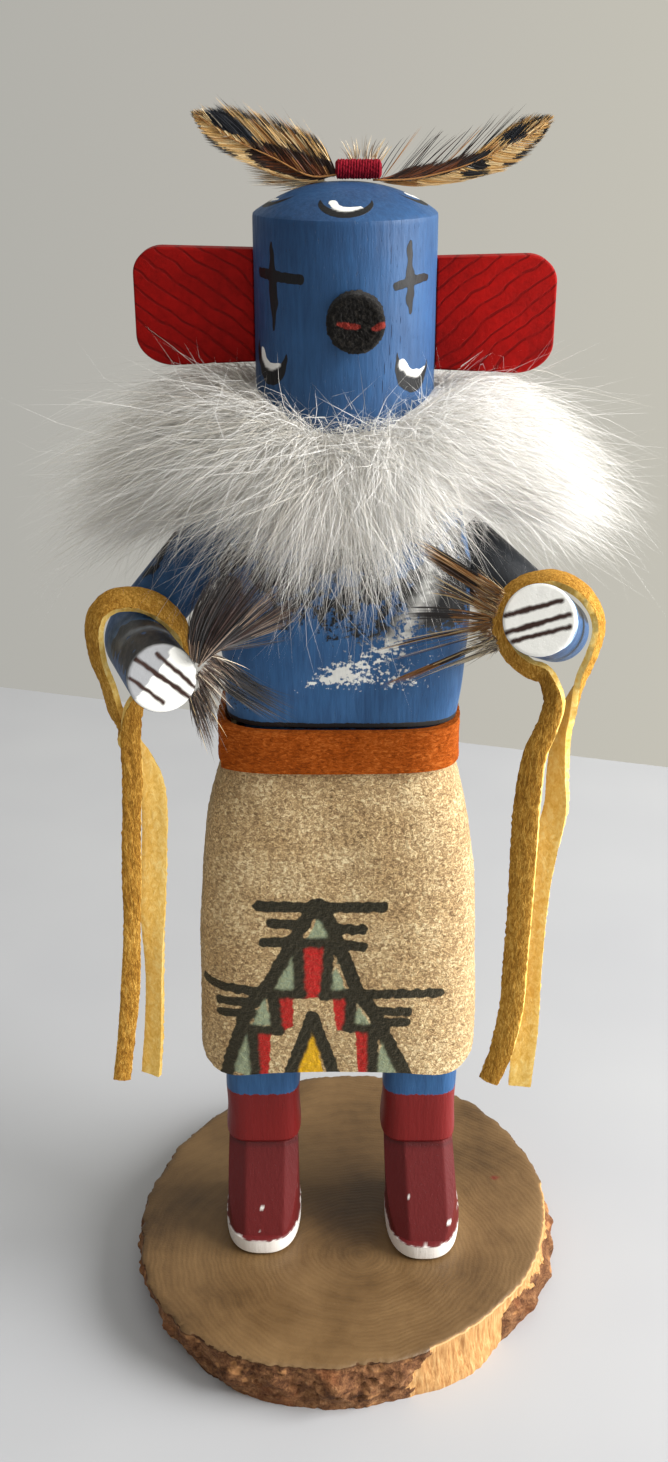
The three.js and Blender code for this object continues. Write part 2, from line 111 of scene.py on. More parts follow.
LACE_RIGHT = [
    [22.4, -25.8, 48.5], [24, -25.8, 54], [25.2, -25.8, 62], [25.4, -25.8, 71],
    [25.6, -25.8, 80.7], [25.6, -25.8, 90], [25.7, -25.8, 98], [26.3, -25.8, 104.7],
    [27.3, -25.8, 107.8], [28.2, -25.7, 110.6], [28.6, -25.2, 112.8], [28.2, -24.3, 114.5],
    [27.2, -23.1, 116.1], [25.1, -22.3, 116.7], [22.3, -21.2, 119.2], [21.4, -20.2, 123.1],
    [22.8, -19.6, 126.5], [25.3, -19.4, 128.4], [28.6, -19.9, 129.1], [31.7, -21.3, 128],
    [33.7, -22.7, 125.8], [34.4, -23.6, 123], [33.7, -23.9, 119.5], [32.7, -23.8, 116.5],
    [31.9, -23.5, 113.4], [31.2, -23.2, 110.5], [30.5, -23, 106.9], [30.3, -23, 101],
    [30.4, -23, 95.5], [29.4, -23, 89.7], [28.6, -23, 83.7], [28.2, -23, 77],
    [28.2, -23, 66], [28, -23, 55], [27.7, -23, 45.5],
]
# Which way the nap faces, and how wide the lace is, at some places along each route.
NAP_LEFT = [
    (0, (0.15, -1, 0), 2.9), (4, (0.1, -1, 0), 2.9), (7, (0.1, -1, 0), 3.0),
    (9, (0.5, -0.6, -0.6), 3.2), (11, (1, -0.2, -0.3), 3.5), (13, (1, -0.3, 0.3), 3.8),
    (15, (0.3, -0.6, 0.8), 3.9), (16, (0, -0.65, 0.8), 3.9), (18, (-0.7, -0.65, 0.5), 3.9),
    (20, (-0.8, -0.65, 0), 3.8), (22, (-0.8, -0.6, -0.1), 3.6), (24, (-0.3, -0.3, 0), 3.4),
    (26, (-0.2, 1, 0), 3.4), (28, (0.1, 1, 0), 4.0), (30, (0.1, 1, 0), 3.9),
    (31, (0.5, 1, 0), 3.2), (33, (0.4, 1, 0), 3.1),
]
NAP_RIGHT = [
    (0, (-0.4, -1, 0), 3.2), (4, (-0.3, -1, 0), 3.9), (6, (-0.4, -1, 0), 3.6),
    (9, (-0.4, -0.9, -0.2), 3.0), (12, (-0.6, -0.7, -0.3), 3.2), (14, (-0.8, -0.6, -0.2), 3.4),
    (15, (-0.8, -0.65, 0.1), 3.6), (17, (-0.4, -0.2, 0.9), 3.6), (18, (0, -0.1, 1), 3.6),
    (20, (0.8, -0.3, 0.4), 3.7), (21, (0.9, -0.4, 0), 3.7), (23, (0.8, -0.5, -0.3), 3.5),
    (25, (1, 0.2, 0), 3.3), (27, (0.8, 0.7, 0), 3.4), (29, (0.3, 1, 0), 3.7), (34, (0.1, 1, 0), 3.6),
]
LACE_THICKNESS = 1.2


# ------------------------------------------------------------------ small helpers
def linear(*rgb):
    """A colour given in 0-255 screen values, as the shader wants it."""
    scaled = np.array(rgb, float) / 255
    return np.where(scaled <= 0.04045, scaled / 12.92, ((scaled + 0.055) / 1.055) ** 2.4)


def unit(vectors):
    length = np.linalg.norm(vectors, axis=-1, keepdims=True)
    return vectors / np.maximum(length, 1e-9)


def smooth(value, low, high):
    t = np.clip((value - low) / (high - low), 0, 1)
    return t * t * (3 - 2 * t)


def turns(count):
    """Angles evenly spaced round a circle."""
    return np.linspace(0, 2 * math.pi, count, endpoint=False)


def spots(*coordinates):
    """Points from their coordinates, any of which may be one number for them all."""
    return np.column_stack(np.broadcast_arrays(*coordinates))


def hill(*terms):
    """1 at a place, fading away from it. A term is a value, where it is highest and
    how wide."""
    return np.exp(-sum(((value - middle) / wide) ** 2 for value, middle, wide in terms))


def curve(start, pull, end, t):
    """Places on the curve from start to end that sets out towards pull."""
    return (1 - t) ** 2 * start + 2 * t * (1 - t) * pull + t**2 * end


def box_mm(node):
    """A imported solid's low and high corners, in millimetres above the table."""
    return (np.array(corner) * 1000 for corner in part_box(node))


def ripple(points, size, seed):
    """Smooth noise, mostly from -1 to 1, made of waves about `size` long in random
    directions."""
    random = np.random.default_rng(seed)
    total = np.zeros(len(points))
    waves = 14
    for _ in range(waves):
        direction = unit(random.normal(size=points.shape[1]))
        length = size * random.uniform(0.6, 1.6)
        total += np.sin(points @ direction * (2 * math.pi / length) + random.uniform(0, 6.3))
    return total / math.sqrt(waves)


def along_route(points, count):
    """`count` points evenly spaced on a smooth curve through the given ones."""
    points = np.array(points, float)
    padded = np.vstack([2 * points[0] - points[1], points, 2 * points[-1] - points[-2]])
    fine = []
    for a, b, c, d in zip(padded, padded[1:], padded[2:], padded[3:]):
        t = np.linspace(0, 1, 24, endpoint=False)[:, None]
        fine.append(b + 0.5 * t * (c - a) + t**2 * (a - 2.5 * b + 2 * c - 0.5 * d)
                    + t**3 * (-0.5 * a + 1.5 * b - 1.5 * c + 0.5 * d))
    fine = np.vstack(fine + [points[-1:]])
    reach = np.concatenate([[0], np.cumsum(np.linalg.norm(np.diff(fine, axis=0), axis=1))])
    wanted = np.linspace(0, reach[-1], count)
    return np.column_stack([np.interp(wanted, reach, fine[:, k]) for k in range(3)])


def section(angle, half_width, half_depth, squareness):
    """A rectangle with round corners, seen from above."""
    power = 2 / squareness
    cos, sin = np.cos(angle), np.sin(angle)
    return (half_width * np.sign(cos) * np.abs(cos) ** power,
            half_depth * np.sign(sin) * np.abs(sin) ** power)


def even_angles(half_width, half_depth, squareness, count, front_share=0.5):
    """Angles that are evenly spaced along a section's outline. The front has its own
    share of them."""
    angle = np.linspace(0, 2 * math.pi, 4001)
    x, y = section(angle, half_width, half_depth, squareness)
    step = np.hypot(np.diff(x), np.diff(y))
    in_front = (y[1:] + y[:-1]) < 0
    share = np.where(in_front, front_share / step[in_front].sum(),
                     (1 - front_share) / step[~in_front].sum())
    reach = np.concatenate([[0], np.cumsum(step * share)])
    return np.interp(np.arange(count) / count, reach, angle)


# ------------------------------------------------------------------ pieces
def new_piece(name, vertices, faces, materials, replaces=(), indices=None,
              lift=True, angle=None):
    """A mesh piece from points in millimetres, which rides on the one body. Edges
    sharper than `angle` degrees stay sharp."""
    vertices = np.array(vertices, float)
    if lift:
        vertices = vertices + [0, 0, LIFT]
    mesh = bpy.data.meshes.new(name)
    mesh.from_pydata((vertices / 1000).tolist(), [], faces)
    for material in materials:
        mesh.materials.append(material)
    if indices is not None:
        mesh.polygons.foreach_set("material_index", np.array(indices, np.int32))
    mesh.polygons.foreach_set("use_smooth", np.ones(len(mesh.polygons), bool))
    if angle:
        mesh.set_sharp_from_angle(angle=math.radians(angle))
    mesh.update()
    obj = linked(name, mesh)
    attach(obj, "root")
    if replaces:
        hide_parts(*replaces)
    return obj


def grid_faces(rows, columns):
    """Faces between rows of points, each row closed on itself."""
    faces = []
    for low in range(0, (rows - 1) * columns, columns):
        high = low + columns
        for j in range(columns):
            k = (j + 1) % columns
            faces.append((low + j, low + k, high + k, high + j))
    return faces


def capped(rings):
    """A closed solid from a stack of rings, with a middle point in each end."""
    rings = np.array(rings, float)
    rows, columns = rings.shape[:2]
    points = np.vstack([rings.reshape(-1, 3), rings[0].mean(0), rings[-1].mean(0)])
    faces = grid_faces(rows, columns)
    last, low, high = (rows - 1) * columns, rows * columns, rows * columns + 1
    for j in range(columns):
        k = (j + 1) % columns
        faces += [(k, j, low), (last + j, last + k, high)]
    return points, faces


def hoop(rings):
    """A closed band from a stack of rings, of which the last joins the first."""
    rings = np.array(rings)
    rows, columns = rings.shape[:2]
    last = (rows - 1) * columns
    faces = grid_faces(rows, columns)
    for j in range(columns):
        k = (j + 1) % columns
        faces.append((last + j, last + k, k, j))
    return rings.reshape(-1, 3), faces


def tube(route, radii, sides):
    """Rings round a route, for a dowel or a quill."""
    route = np.array(route, float)
    along = unit(np.gradient(route, axis=0))
    helper = np.array([0, 0, 1.0]) if abs(along[:, 2]).max() < 0.95 else np.array([0, 1.0, 0])
    across = unit(np.cross(helper, along))
    up = np.cross(along, across)
    angle = turns(sides)[None, :, None]
    radii = np.broadcast_to(radii, len(route))[:, None, None]
    return route[:, None] + radii * (np.cos(angle) * across[:, None] + np.sin(angle) * up[:, None])


class Canvas:
    """Paint on a mesh's points: soft-edged shapes, kept with how well they cover."""

    def __init__(self, points):
        self.colour = np.zeros((len(points), 3))
        self.cover = np.zeros(len(points))

    def lay(self, mask, colour):
        mask = np.clip(mask, 0, 1)[:, None]
        self.colour = self.colour * (1 - mask) + linear(*colour) * mask
        self.cover = self.cover * (1 - mask[:, 0]) + mask[:, 0]

    def stroke(self, where, places, colour, soft=0.3, only=1.0):
        """A brush stroke through places (u, v, width), on surface coordinates."""
        best = np.full(len(where), 1e9)
        for (u0, v0, w0), (u1, v1, w1) in zip(places, places[1:]):
            start, run = np.array([u0, v0]), np.array([u1 - u0, v1 - v0])
            t = np.clip((where - start) @ run / max(run @ run, 1e-9), 0, 1)
            away = np.linalg.norm(where - start - t[:, None] * run, axis=1)
            best = np.minimum(best, away - (w0 + (w1 - w0) * t) / 2)
        self.lay(only * (0.5 - best / (2 * soft)), colour)

    def shape(self, where, corners, colour, soft=0.3, only=1.0):
        """A filled convex shape, its corners in order."""
        corners = np.array(corners, float)
        middle = corners.mean(0)
        depth = np.full(len(where), 1e9)
        for a, b in zip(corners, np.roll(corners, -1, axis=0)):
            normal = np.array([b[1] - a[1], a[0] - b[0]]) / np.linalg.norm(b - a)
            normal *= np.sign((middle - a) @ normal)
            depth = np.minimum(depth, (where - a) @ normal)
        self.lay(only * (0.5 + depth / (2 * soft)), colour)

    def keep(self, obj):
        data = obj.data.color_attributes.new("paint", "FLOAT_COLOR", "POINT")
        data.data.foreach_set("color", np.column_stack([self.colour, self.cover]).ravel())


# ------------------------------------------------------------------ materials
def fill_ramp(ramp, stops):
    """Sets a colour ramp's stops, each a position and a colour in 0-255 values."""
    while len(ramp.elements) < len(stops):
        ramp.elements.new(0.5)
    for element, (position, colour) in zip(ramp.elements, stops):
        element.position = position
        element.color = (*linear(*colour), 1)


class Finish:
    """One procedural material. A value is a number or another node's output."""

    def __init__(self, name, roughness=0.6, specular=0.3, sheen=0.0, sheen_tint=(1, 1, 1)):
        self.material = bpy.data.materials.new(name)
        self.material.use_nodes = True
        self.tree = self.material.node_tree
        self.shader = self.tree.nodes["Principled BSDF"]
        self.shader.inputs["Roughness"].default_value = roughness
        self.shader.inputs["Specular IOR Level"].default_value = specular
        if sheen:
            self.shader.inputs["Sheen Weight"].default_value = sheen
            self.shader.inputs["Sheen Roughness"].default_value = 0.6
            self.shader.inputs["Sheen Tint"].default_value = (*sheen_tint, 1)
        place = self.tree.nodes.new("ShaderNodeTexCoord").outputs["Object"]
        self.place = self.vector("SCALE", place, scale=1000)
        split = self.tree.nodes.new("ShaderNodeSeparateXYZ")
        self.tree.links.new(self.place, split.inputs[0])
        self.x, self.y, self.z = split.outputs

    def put(self, socket, value):
        if isinstance(value, bpy.types.NodeSocket):
            self.tree.links.new(value, socket)
        elif hasattr(value, "__len__"):
            socket.default_value = (*value, 1)[:len(socket.default_value)]
        else:
            socket.default_value = value

    def math(self, operation, a, b=0.0, c=0.0):
        node = self.tree.nodes.new("ShaderNodeMath")
        node.operation = operation
        for socket, value in zip(node.inputs, (a, b, c)):
            self.put(socket, value)
        return node.outputs[0]

    def vector(self, operation, a, b=None, scale=None):
        node = self.tree.nodes.new("ShaderNodeVectorMath")
        node.operation = operation
        for key, value in ((0, a), (1, b), ("Scale", scale)):
            if value is not None:
                self.put(node.inputs[key], value)
        return node.outputs[0]

    def step(self, value, low, high, to_low=0.0, to_high=1.0):
        node = self.tree.nodes.new("ShaderNodeMapRange")
        node.interpolation_type = "SMOOTHSTEP"
        for key, number in (("Value", value), ("From Min", low), ("From Max", high),
                            ("To Min", to_low), ("To Max", to_high)):
            self.put(node.inputs[key], number)
        return node.outputs[0]

    def noise(self, size, detail=3.0, stretch=(1, 1, 1), shift=0.0, twist=0.0, rough=0.55):
        """Cloudy noise from 0 to 1 whose lumps are about `size` mm, longer where
        stretch is more than 1."""
        place = self.vector("MULTIPLY", self.place, [1 / s for s in stretch])
        place = self.vector("ADD", place, [shift, shift * 0.7, shift * 0.3])
        node = self.tree.nodes.new("ShaderNodeTexNoise")
        node.inputs["Scale"].default_value = 1 / size
        node.inputs["Detail"].default_value = detail
        node.inputs["Roughness"].default_value = rough
        node.inputs["Distortion"].default_value = twist
        self.tree.links.new(place, node.inputs["Vector"])
        return node.outputs[0]

    def mix(self, factor, a, b, blend="MIX"):
        node = self.tree.nodes.new("ShaderNodeMix")
        node.data_type = "RGBA"
        node.blend_type = blend
        self.put(node.inputs["Factor"], factor)
        for socket, value in ((node.inputs[6], a), (node.inputs[7], b)):
            self.put(socket, value)
        return node.outputs[2]

    def ramp(self, value, *stops):
        node = self.tree.nodes.new("ShaderNodeValToRGB")
        fill_ramp(node.color_ramp, stops)
        self.put(node.inputs[0], value)
        return node.outputs[0]

    def paint(self):
        """The outputs that carry the canvas's paint."""
        node = self.tree.nodes.new("ShaderNodeAttribute")
        node.attribute_name = "paint"
        return node.outputs

    def painted(self, base, grain, size=0.5, crisp=0.08):
        """The canvas's paint over a base colour, its edges and thin places broken up
        into lumps of `size` mm. Returns the colour and where there is paint."""
        paint = self.paint()
        cover = paint["Alpha"]
        whole = self.math("MAXIMUM", cover, 0.01)
        colour = self.vector("SCALE", paint["Color"], scale=self.math("DIVIDE", 1.0, whole))
        broken = self.math("MULTIPLY_ADD", self.noise(size, 2, shift=31), grain, -grain / 2)
        edge = self.step(self.math("ADD", cover, broken), 0.5 - crisp, 0.5 + crisp)
        return self.mix(edge, base, colour), edge

    def bump(self, height, distance):
        """Relief of `distance` mm."""
        node = self.tree.nodes.new("ShaderNodeBump")
        node.inputs["Strength"].default_value = 1.0
        node.inputs["Distance"].default_value = distance / 1000
        self.put(node.inputs["Height"], height)
        self.tree.links.new(node.outputs[0], self.shader.inputs["Normal"])

    def done(self, colour, roughness=None):
        self.put(self.shader.inputs["Base Color"], colour)
        if roughness is not None:
            self.put(self.shader.inputs["Roughness"], roughness)
        return self.material


def painted_wood(name, light, dark, grain_stretch, streak=0.5, fleck=0.1, fleck_size=0.45):
    """Thin matt paint over wood: the grain shows through as fine streaks and pits. The
    canvas's paint breaks up into flecks."""
    f = Finish(name, specular=0.35)
    clouds = f.noise(14, 3, shift=5)
    brush = f.noise(0.7, 4, grain_stretch, shift=11, rough=0.65)
    pores = f.noise(0.28, 2, [s * 0.6 for s in grain_stretch], shift=3)
    tone = f.math("MULTIPLY_ADD", clouds, 0.5, f.math("MULTIPLY", brush, streak))
    base = f.ramp(tone, (0.28, dark), (0.72, light))
    pit = f.step(pores, 0.66, 0.78)
    base = f.mix(f.math("MULTIPLY", pit, 0.45), base, linear(*[c * 0.45 for c in dark]))
    colour, edge = f.painted(base, fleck, fleck_size)
    height = f.math("MULTIPLY_ADD", brush, 0.7, f.math("MULTIPLY", pit, -0.5))
    f.bump(f.math("MULTIPLY_ADD", edge, 0.35, height), 0.12)
    return f.done(colour, f.step(brush, 0.2, 0.8, 0.6, 0.42))


def suede(name, dark, middle, light, nap, lean, relief=0.35, drawn=False):
    """Napped leather: short fibres lying this way and that, paler at their tips. Its
    tufts are about `nap` mm, longer where lean is more than 1."""
    f = Finish(name, roughness=0.95, specular=0.08, sheen=0.25, sheen_tint=linear(*light))
    tufts = f.noise(nap, 3, lean, shift=7, twist=0.8, rough=0.62)
    fibres = f.noise(nap * 0.35, 2, lean, shift=17, twist=0.5)
    brushed = f.noise(nap * 14, 2, shift=2)
    tone = f.math("MULTIPLY_ADD", tufts, 0.75, f.math("MULTIPLY", fibres, 0.3))
    tone = f.math("ADD", tone, f.math("MULTIPLY_ADD", brushed, 0.22, -0.11))
    colour = f.ramp(tone, (0.36, dark), (0.53, middle), (0.68, light))
    if drawn:
        colour, _ = f.painted(colour, 0.32, nap * 0.8, crisp=0.2)
        paler = f.step(tufts, 0.35, 0.7, 0.0, 0.55)
        colour = f.mix(paler, colour, linear(*light), blend="SOFT_LIGHT")
    f.bump(tone, relief)
    return f.done(colour)


def fibre(name, colour, roughness, sheen):
    """Hair and barbs are so fine that each takes one of a family of plain tones."""
    f = Finish(name, roughness=roughness, specular=0.25, sheen=sheen)
    return f.done(linear(*colour))


# ------------------------------------------------------------------ base
# Radii of the slice's top and bottom edges round the branch, by angle in degrees.
EDGE_ROWS = [
    (-168, 37.5, 38.0), (-150, 39.3, 36.6), (-132, 40.3, 38.6), (-116, 39.4, 39.2),
    (-95, 37.3, 38.5), (-74, 36.7, 37.6), (-54, 36.2, 38.2), (-41, 36.2, 36.4),
    (-28, 36.8, 37.4), (-12, 37.1, 38.7), (6, 37.8, 39.2), (30, 38.1, 38.5),
    (54, 39.3, 39.6), (95, 37.6, 38.4), (133, 35.9, 36.8), (160, 35.5, 36.4),
]
RIM_SOFTENING = 13  # points over which the edge rows are averaged
PITH = (3.0, -13.0)
# Lumps of bark: degrees round, share of the way down, half-width in degrees, size in mm.
BARK_LUMPS = [
    (-92, 0.45, 3.2, 1.5), (-84, 0.55, 1.8, 0.9), (-77, 0.45, 3.0, 1.2), (-119, 0.5, 4.0, 1.0),
    (-31, 0.62, 4.5, 1.6), (-17, 0.6, 3.5, 1.3), (-140, 0.4, 5.0, 0.8),
]
BARE_WOOD = (206, 158, 98)
RED_DOT, RED_DOT_PLACE = (110, 45, 30), (29.1, 6.9)


def around(angle, column):
    """The slice's radius round the branch, from one column of EDGE_ROWS."""
    rows = np.array(EDGE_ROWS, float)
    degrees = np.degrees((angle + math.pi) % (2 * math.pi) - math.pi)
    thrice = np.concatenate([rows[:, 0] - 360, rows[:, 0], rows[:, 0] + 360])
    return np.interp(degrees, thrice, np.tile(rows[:, column], 3))


def softened(values, width):
    """A closed run of values, averaged over its neighbours."""
    closed = np.concatenate([values[-width:], values, values[:width]])
    return np.convolve(closed, np.ones(width) / width, "same")[width:-width]


def cut_share(degrees, down):
    """Where the bark is cut away: a whole facet at the front, and a thin strip under
    the rim from there round to the right. down is 0 at the rim and 1 at the table."""
    ragged = 1.6 * np.sin(down * 7 + 1) + 1.1 * np.sin(down * 19 + degrees * 0.3)
    edge = -73 - 6.5 * (down - 0.5) + ragged
    facet = smooth(degrees, edge, edge + 3) * (1 - smooth(degrees, -44, -38))
    strip = smooth(degrees, -46, -40) * (1 - smooth(degrees, 4, 14)) * (1 - smooth(down, 0.16, 0.42))
    return np.clip(facet + strip, 0, 1)


def bark_ring(angle, down, top, bottom):
    """How far the slice's side reaches at one height."""
    degrees = np.degrees(angle)
    radius = top + (bottom - top) * down
    spot = spots(radius * np.cos(angle), radius * np.sin(angle), down * 9)
    plates = ripple(spot * [1, 1, 0.45], 4.6, 3) * 0.45 + ripple(spot * [1, 1, 0.8], 1.6, 4) * 0.24
    cracks = -0.55 * smooth(-np.abs(ripple(spot * [1, 1, 0.5], 3.1, 9)), -0.16, 0)
    belly = math.sin(math.pi * min(1, down * 1.02 + 0.06))
    bark = (plates + cracks + 0.35) * (0.3 + 0.7 * belly)
    for place, height, wide, size in BARK_LUMPS:
        bark += size * hill((degrees, place, wide), (down, height, 0.24))
    whittled = -0.5 * belly + 0.12 * ripple(spot * [1, 1, 0.1], 1.1, 6)
    cut = cut_share(degrees, np.full(len(angle), down))
    return radius + bark * (1 - cut) + whittled * cut - 0.35 * down**4


def base_piece():
    columns, rows, circles = 520, 30, 26
    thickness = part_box("base")[1][2] * 1000
    angle = np.linspace(-math.pi, math.pi, columns, endpoint=False)
    top, bottom = (softened(around(angle, column), RIM_SOFTENING) for column in (1, 2))
    cos, sin = np.cos(angle), np.sin(angle)
    rings = []
    for i in range(circles):
        share = (i / circles) ** 0.8
        rings.append(spots(top * share * cos, top * share * sin, thickness))
    side = []
    for i in range(rows):
        down = i / (rows - 1)
        radius = bark_ring(angle, down, top, bottom)
        # the rim is tucked in a little, and the rows below it start lower
        tucked = 1 - (0.25 if i == 0 else 0) / radius
        z = thickness * (1 - down) - (0.0 if i else 0.12)
        side.append(spots(radius * tucked * cos, radius * tucked * sin, z))
    points, faces = capped(np.array(side[::-1] + rings[:0:-1]))
    obj = new_piece("branch_slice", points, faces, [top_wood(), bark_finish()],
                    ["base"], lift=False, angle=50)
    normals = np.array([p.normal[2] for p in obj.data.polygons])
    heights = np.array([p.center[2] for p in obj.data.polygons]) * 1000
    sides = ~((normals > 0.7) & (heights > thickness - 0.3))
    obj.data.polygons.foreach_set("material_index", sides.astype(np.int32))
    canvas = Canvas(points)
    degrees = np.degrees(np.arctan2(points[:, 1], points[:, 0]))
    down = 1 - points[:, 2] / thickness
    ragged = down + ripple(points, 3.0, 12) * 0.0625
    bare = (cut_share(degrees, ragged) > 0.5) * (down > 0.01) * smooth(down, 0.0, 0.03)
    canvas.lay(bare, BARE_WOOD)
    dot = np.exp(-(np.linalg.norm(points[:, :2] - RED_DOT_PLACE, axis=1) / 0.75) ** 2)
    canvas.lay((points[:, 2] > thickness - 0.2) * dot * 1.2, RED_DOT)
    canvas.keep(obj)


def top_wood():
    """Varnished end grain: growth rings round the pith, darker clouds, fine pores."""
    f = Finish("varnished_end_grain", specular=0.45)
    bend = f.noise(20, 3, shift=8)
    dx, dy = f.math("SUBTRACT", f.x, PITH[0]), f.math("SUBTRACT", f.y, PITH[1])
    radius = f.math("SQRT", f.math("ADD", f.math("MULTIPLY", dx, dx),
                                   f.math("MULTIPLY", f.math("MULTIPLY", dy, dy), 1.35)))
    radius = f.math("MULTIPLY_ADD", bend, 9.0, radius)
    rings = f.math("SINE", f.math("MULTIPLY", radius, 2.1))
    fine = f.math("SINE", f.math("MULTIPLY", radius, 6.7))
    clouds = f.noise(17, 4, shift=21)
    pores = f.noise(0.35, 2, shift=5)
    tone = f.math("MULTIPLY_ADD", rings, 0.022, clouds)
    tone = f.math("MULTIPLY_ADD", fine, 0.008, tone)
    tone = f.math("MULTIPLY_ADD", f.noise(1.3, 3, shift=2), 0.16, tone)
    base = f.ramp(tone, (0.36, (80, 58, 32)), (0.55, (106, 80, 48)), (0.78, (126, 98, 62)))
    # darker in the middle of the top, between and behind the boots
    darker_between_boots = f.math("MULTIPLY", f.step(f.math("ABSOLUTE", f.math("SUBTRACT", f.x, -1.0)), 3, 24, 1, 0),
                   f.math("MULTIPLY", f.step(f.y, -10, 4), f.step(f.y, 12, 30, 1, 0)))
    base = f.mix(f.math("MULTIPLY", darker_between_boots, 0.5), base, linear(70, 50, 26))
    base = f.mix(f.step(pores, 0.62, 0.8, 0.0, 0.3), base, linear(70, 50, 25))
    colour, _ = f.painted(base, 0.2, crisp=0.3)
    f.bump(f.math("ADD", f.math("MULTIPLY", fine, 0.2), pores), 0.05)
    return f.done(colour, f.step(clouds, 0.3, 0.7, 0.42, 0.55))


def bark_finish():
    """Bark, brown and scaly, and pale fibrous wood where it was cut away."""
    f = Finish("bark", roughness=0.85, specular=0.2)
    scales = f.noise(2.6, 5, (1, 1, 0.6), shift=4, rough=0.65)
    grit = f.noise(0.5, 4, shift=9, rough=0.7)
    tone = f.math("MULTIPLY_ADD", grit, 0.4, f.math("MULTIPLY", scales, 0.6))
    bark = f.ramp(tone, (0.34, (50, 31, 20)), (0.46, (106, 70, 46)), (0.57, (142, 100, 66)),
                  (0.72, (176, 140, 104)))
    warm = f.noise(7, 2, shift=14)
    bark = f.mix(f.step(warm, 0.5, 0.7, 0, 0.5), bark, linear(142, 84, 50))
    knots = f.step(f.noise(3.4, 2, (1.6, 1.6, 1), shift=23), 0.6, 0.66)
    bark = f.mix(f.math("MULTIPLY", knots, 0.7), bark, linear(196, 142, 92))
    under_rim = f.step(f.z, 8.15, 8.75, 0.0, 0.75)
    bark = f.mix(under_rim, bark, linear(44, 26, 14))
    fibres = f.noise(0.45, 4, (1, 1, 9), shift=3, rough=0.6)
    wood = f.ramp(fibres, (0.3, (158, 108, 62)), (0.55, (198, 152, 98)), (0.75, (220, 182, 130)))
    edge = f.step(f.math("MULTIPLY_ADD", grit, 0.5, f.paint()["Alpha"]), 0.6, 0.95)
    f.bump(f.math("ADD", f.math("MULTIPLY", tone, f.math("SUBTRACT", 1.3, edge)),
                  f.math("MULTIPLY", fibres, 0.25)), 0.5)
    return f.done(f.mix(edge, bark, wood))


# ------------------------------------------------------------------ the carved block
BLUE_LIGHT, BLUE_DARK = (50, 96, 146), (27, 60, 100)
BODY_LIGHT, BODY_DARK = (56, 108, 162), (31, 68, 112)
BLACK_PAINT, WHITE_PAINT = (16, 17, 20), (246, 246, 242)
BOOT, BOOT_FOOT_SHADED, BOOT_CREASE_SHADE, BOOT_SOLE = (122, 22, 22), (96, 22, 24), (70, 14, 18), (240, 236, 232)
BODY_X, BODY_SQUARE = -0.45, 4.5
BODY_ROWS = np.array([  # height, half width, half depth
    (56, 20.3, 7.4), (63, 20.1, 9.4), (80, 19.2, 9.9), (91.5, 15.5, 9.1), (101.6, 15.2, 9.0),
    (102.3, 17.7, 10.8), (110, 18.4, 11.0), (119, 19.0, 11.0), (127, 18.9, 10.9),
    (134, 17.2, 10.5), (140.5, 13.2, 9.6), (146.7, 9.6, 8.6),
])
LEG_HALF, LEG_FRONT, LEG_BACK, FOLD, PAINT_LINE, SOLE = 6.4, -6.0, 6.5, 19.2, 29.6, 3.0
LEG_SQUARE = 4.2
LEGS = [  # where the middle lies across, how far the toe reaches, where the instep's flat is
    {"knee": -14.45, "sole": -14.7, "toe": -13.3, "flat": 0.4},
    {"knee": 13.15, "sole": 14.2, "toe": -14.7, "flat": 0.9},
]
INSTEP_TILT = 0.62
# A dry brush dragged up to the right: places (across, height, width).
DRY_BRUSH = [
    (-7.6, 108.3, 0.6), (-3.9, 110.1, 2.2), (0.5, 112.2, 3.4), (4.9, 114.2, 3.0), (7.8, 116.0, 2.0),
    (8.7, 119.1, 1.5), (11.3, 123, 1.6), (12.2, 126, 1.5), (11.9, 129, 1.0),
]


def solid(points, faces):
    mesh = bpy.data.meshes.new("cutter")
    mesh.from_pydata(points.tolist(), [], faces)
    return linked("cutter", mesh)


def joined(*solids):
    """One closed mesh from solids that overlap: its points and faces."""
    first, *others = solids
    for other in others:
        union = first.modifiers.new("union", "BOOLEAN")
        union.operation = "UNION"
        union.solver = "EXACT"
        union.object = other
    graph = bpy.context.evaluated_depsgraph_get()
    mesh = bpy.data.meshes.new_from_object(first.evaluated_get(graph))
    points = np.empty(len(mesh.vertices) * 3)
    mesh.vertices.foreach_get("co", points)
    faces = [tuple(p.vertices) for p in mesh.polygons]
    for obj in solids:
        bpy.data.objects.remove(obj)
    return points.reshape(-1, 3), faces


def trunk():
    angle = even_angles(18.5, 11, BODY_SQUARE, 250, 0.72)
    heights = np.concatenate([np.linspace(56, 100, 9), np.linspace(101, 103, 8),
                              np.linspace(103.3, 146.2, 110), [146.55, 146.7]])
    rings = []
    for z in heights:
        w, d = (np.interp(z, BODY_ROWS[:, 0], BODY_ROWS[:, k]) for k in (1, 2))
        inset = 0.5 if z == heights[-1] else 0
        x, y = section(angle, w - inset, d - inset, BODY_SQUARE)
        whittled = 0.12 * ripple(spots(x, y, z), 9, 22)
        rings.append(spots(BODY_X + x * (1 + whittled / w), y * (1 + whittled / d), z))
    return capped(rings)


def boot_shaft(leg):
    angle = even_angles(LEG_HALF, 6.2, LEG_SQUARE, 96)
    half_depth, middle = (LEG_BACK - LEG_FRONT) / 2, (LEG_FRONT + LEG_BACK) / 2
    rows = [(FOLD - 0.5, -0.7), (FOLD, -0.15), (FOLD + 0.7, 0.2), (FOLD + 2, 0.15)]
    rows += [(z, 0.0) for z in np.linspace(FOLD + 5, 60, 30)]
    rings = []
    for z, grow in rows:
        x, y = section(angle, LEG_HALF + grow, half_depth + grow, LEG_SQUARE)
        chop = 0.14 * ripple(spots(x, y, z * 0.6), 8, 5)
        rings.append(spots(leg["knee"] + x + chop * np.sign(x), middle + y, z))
    return capped(rings)


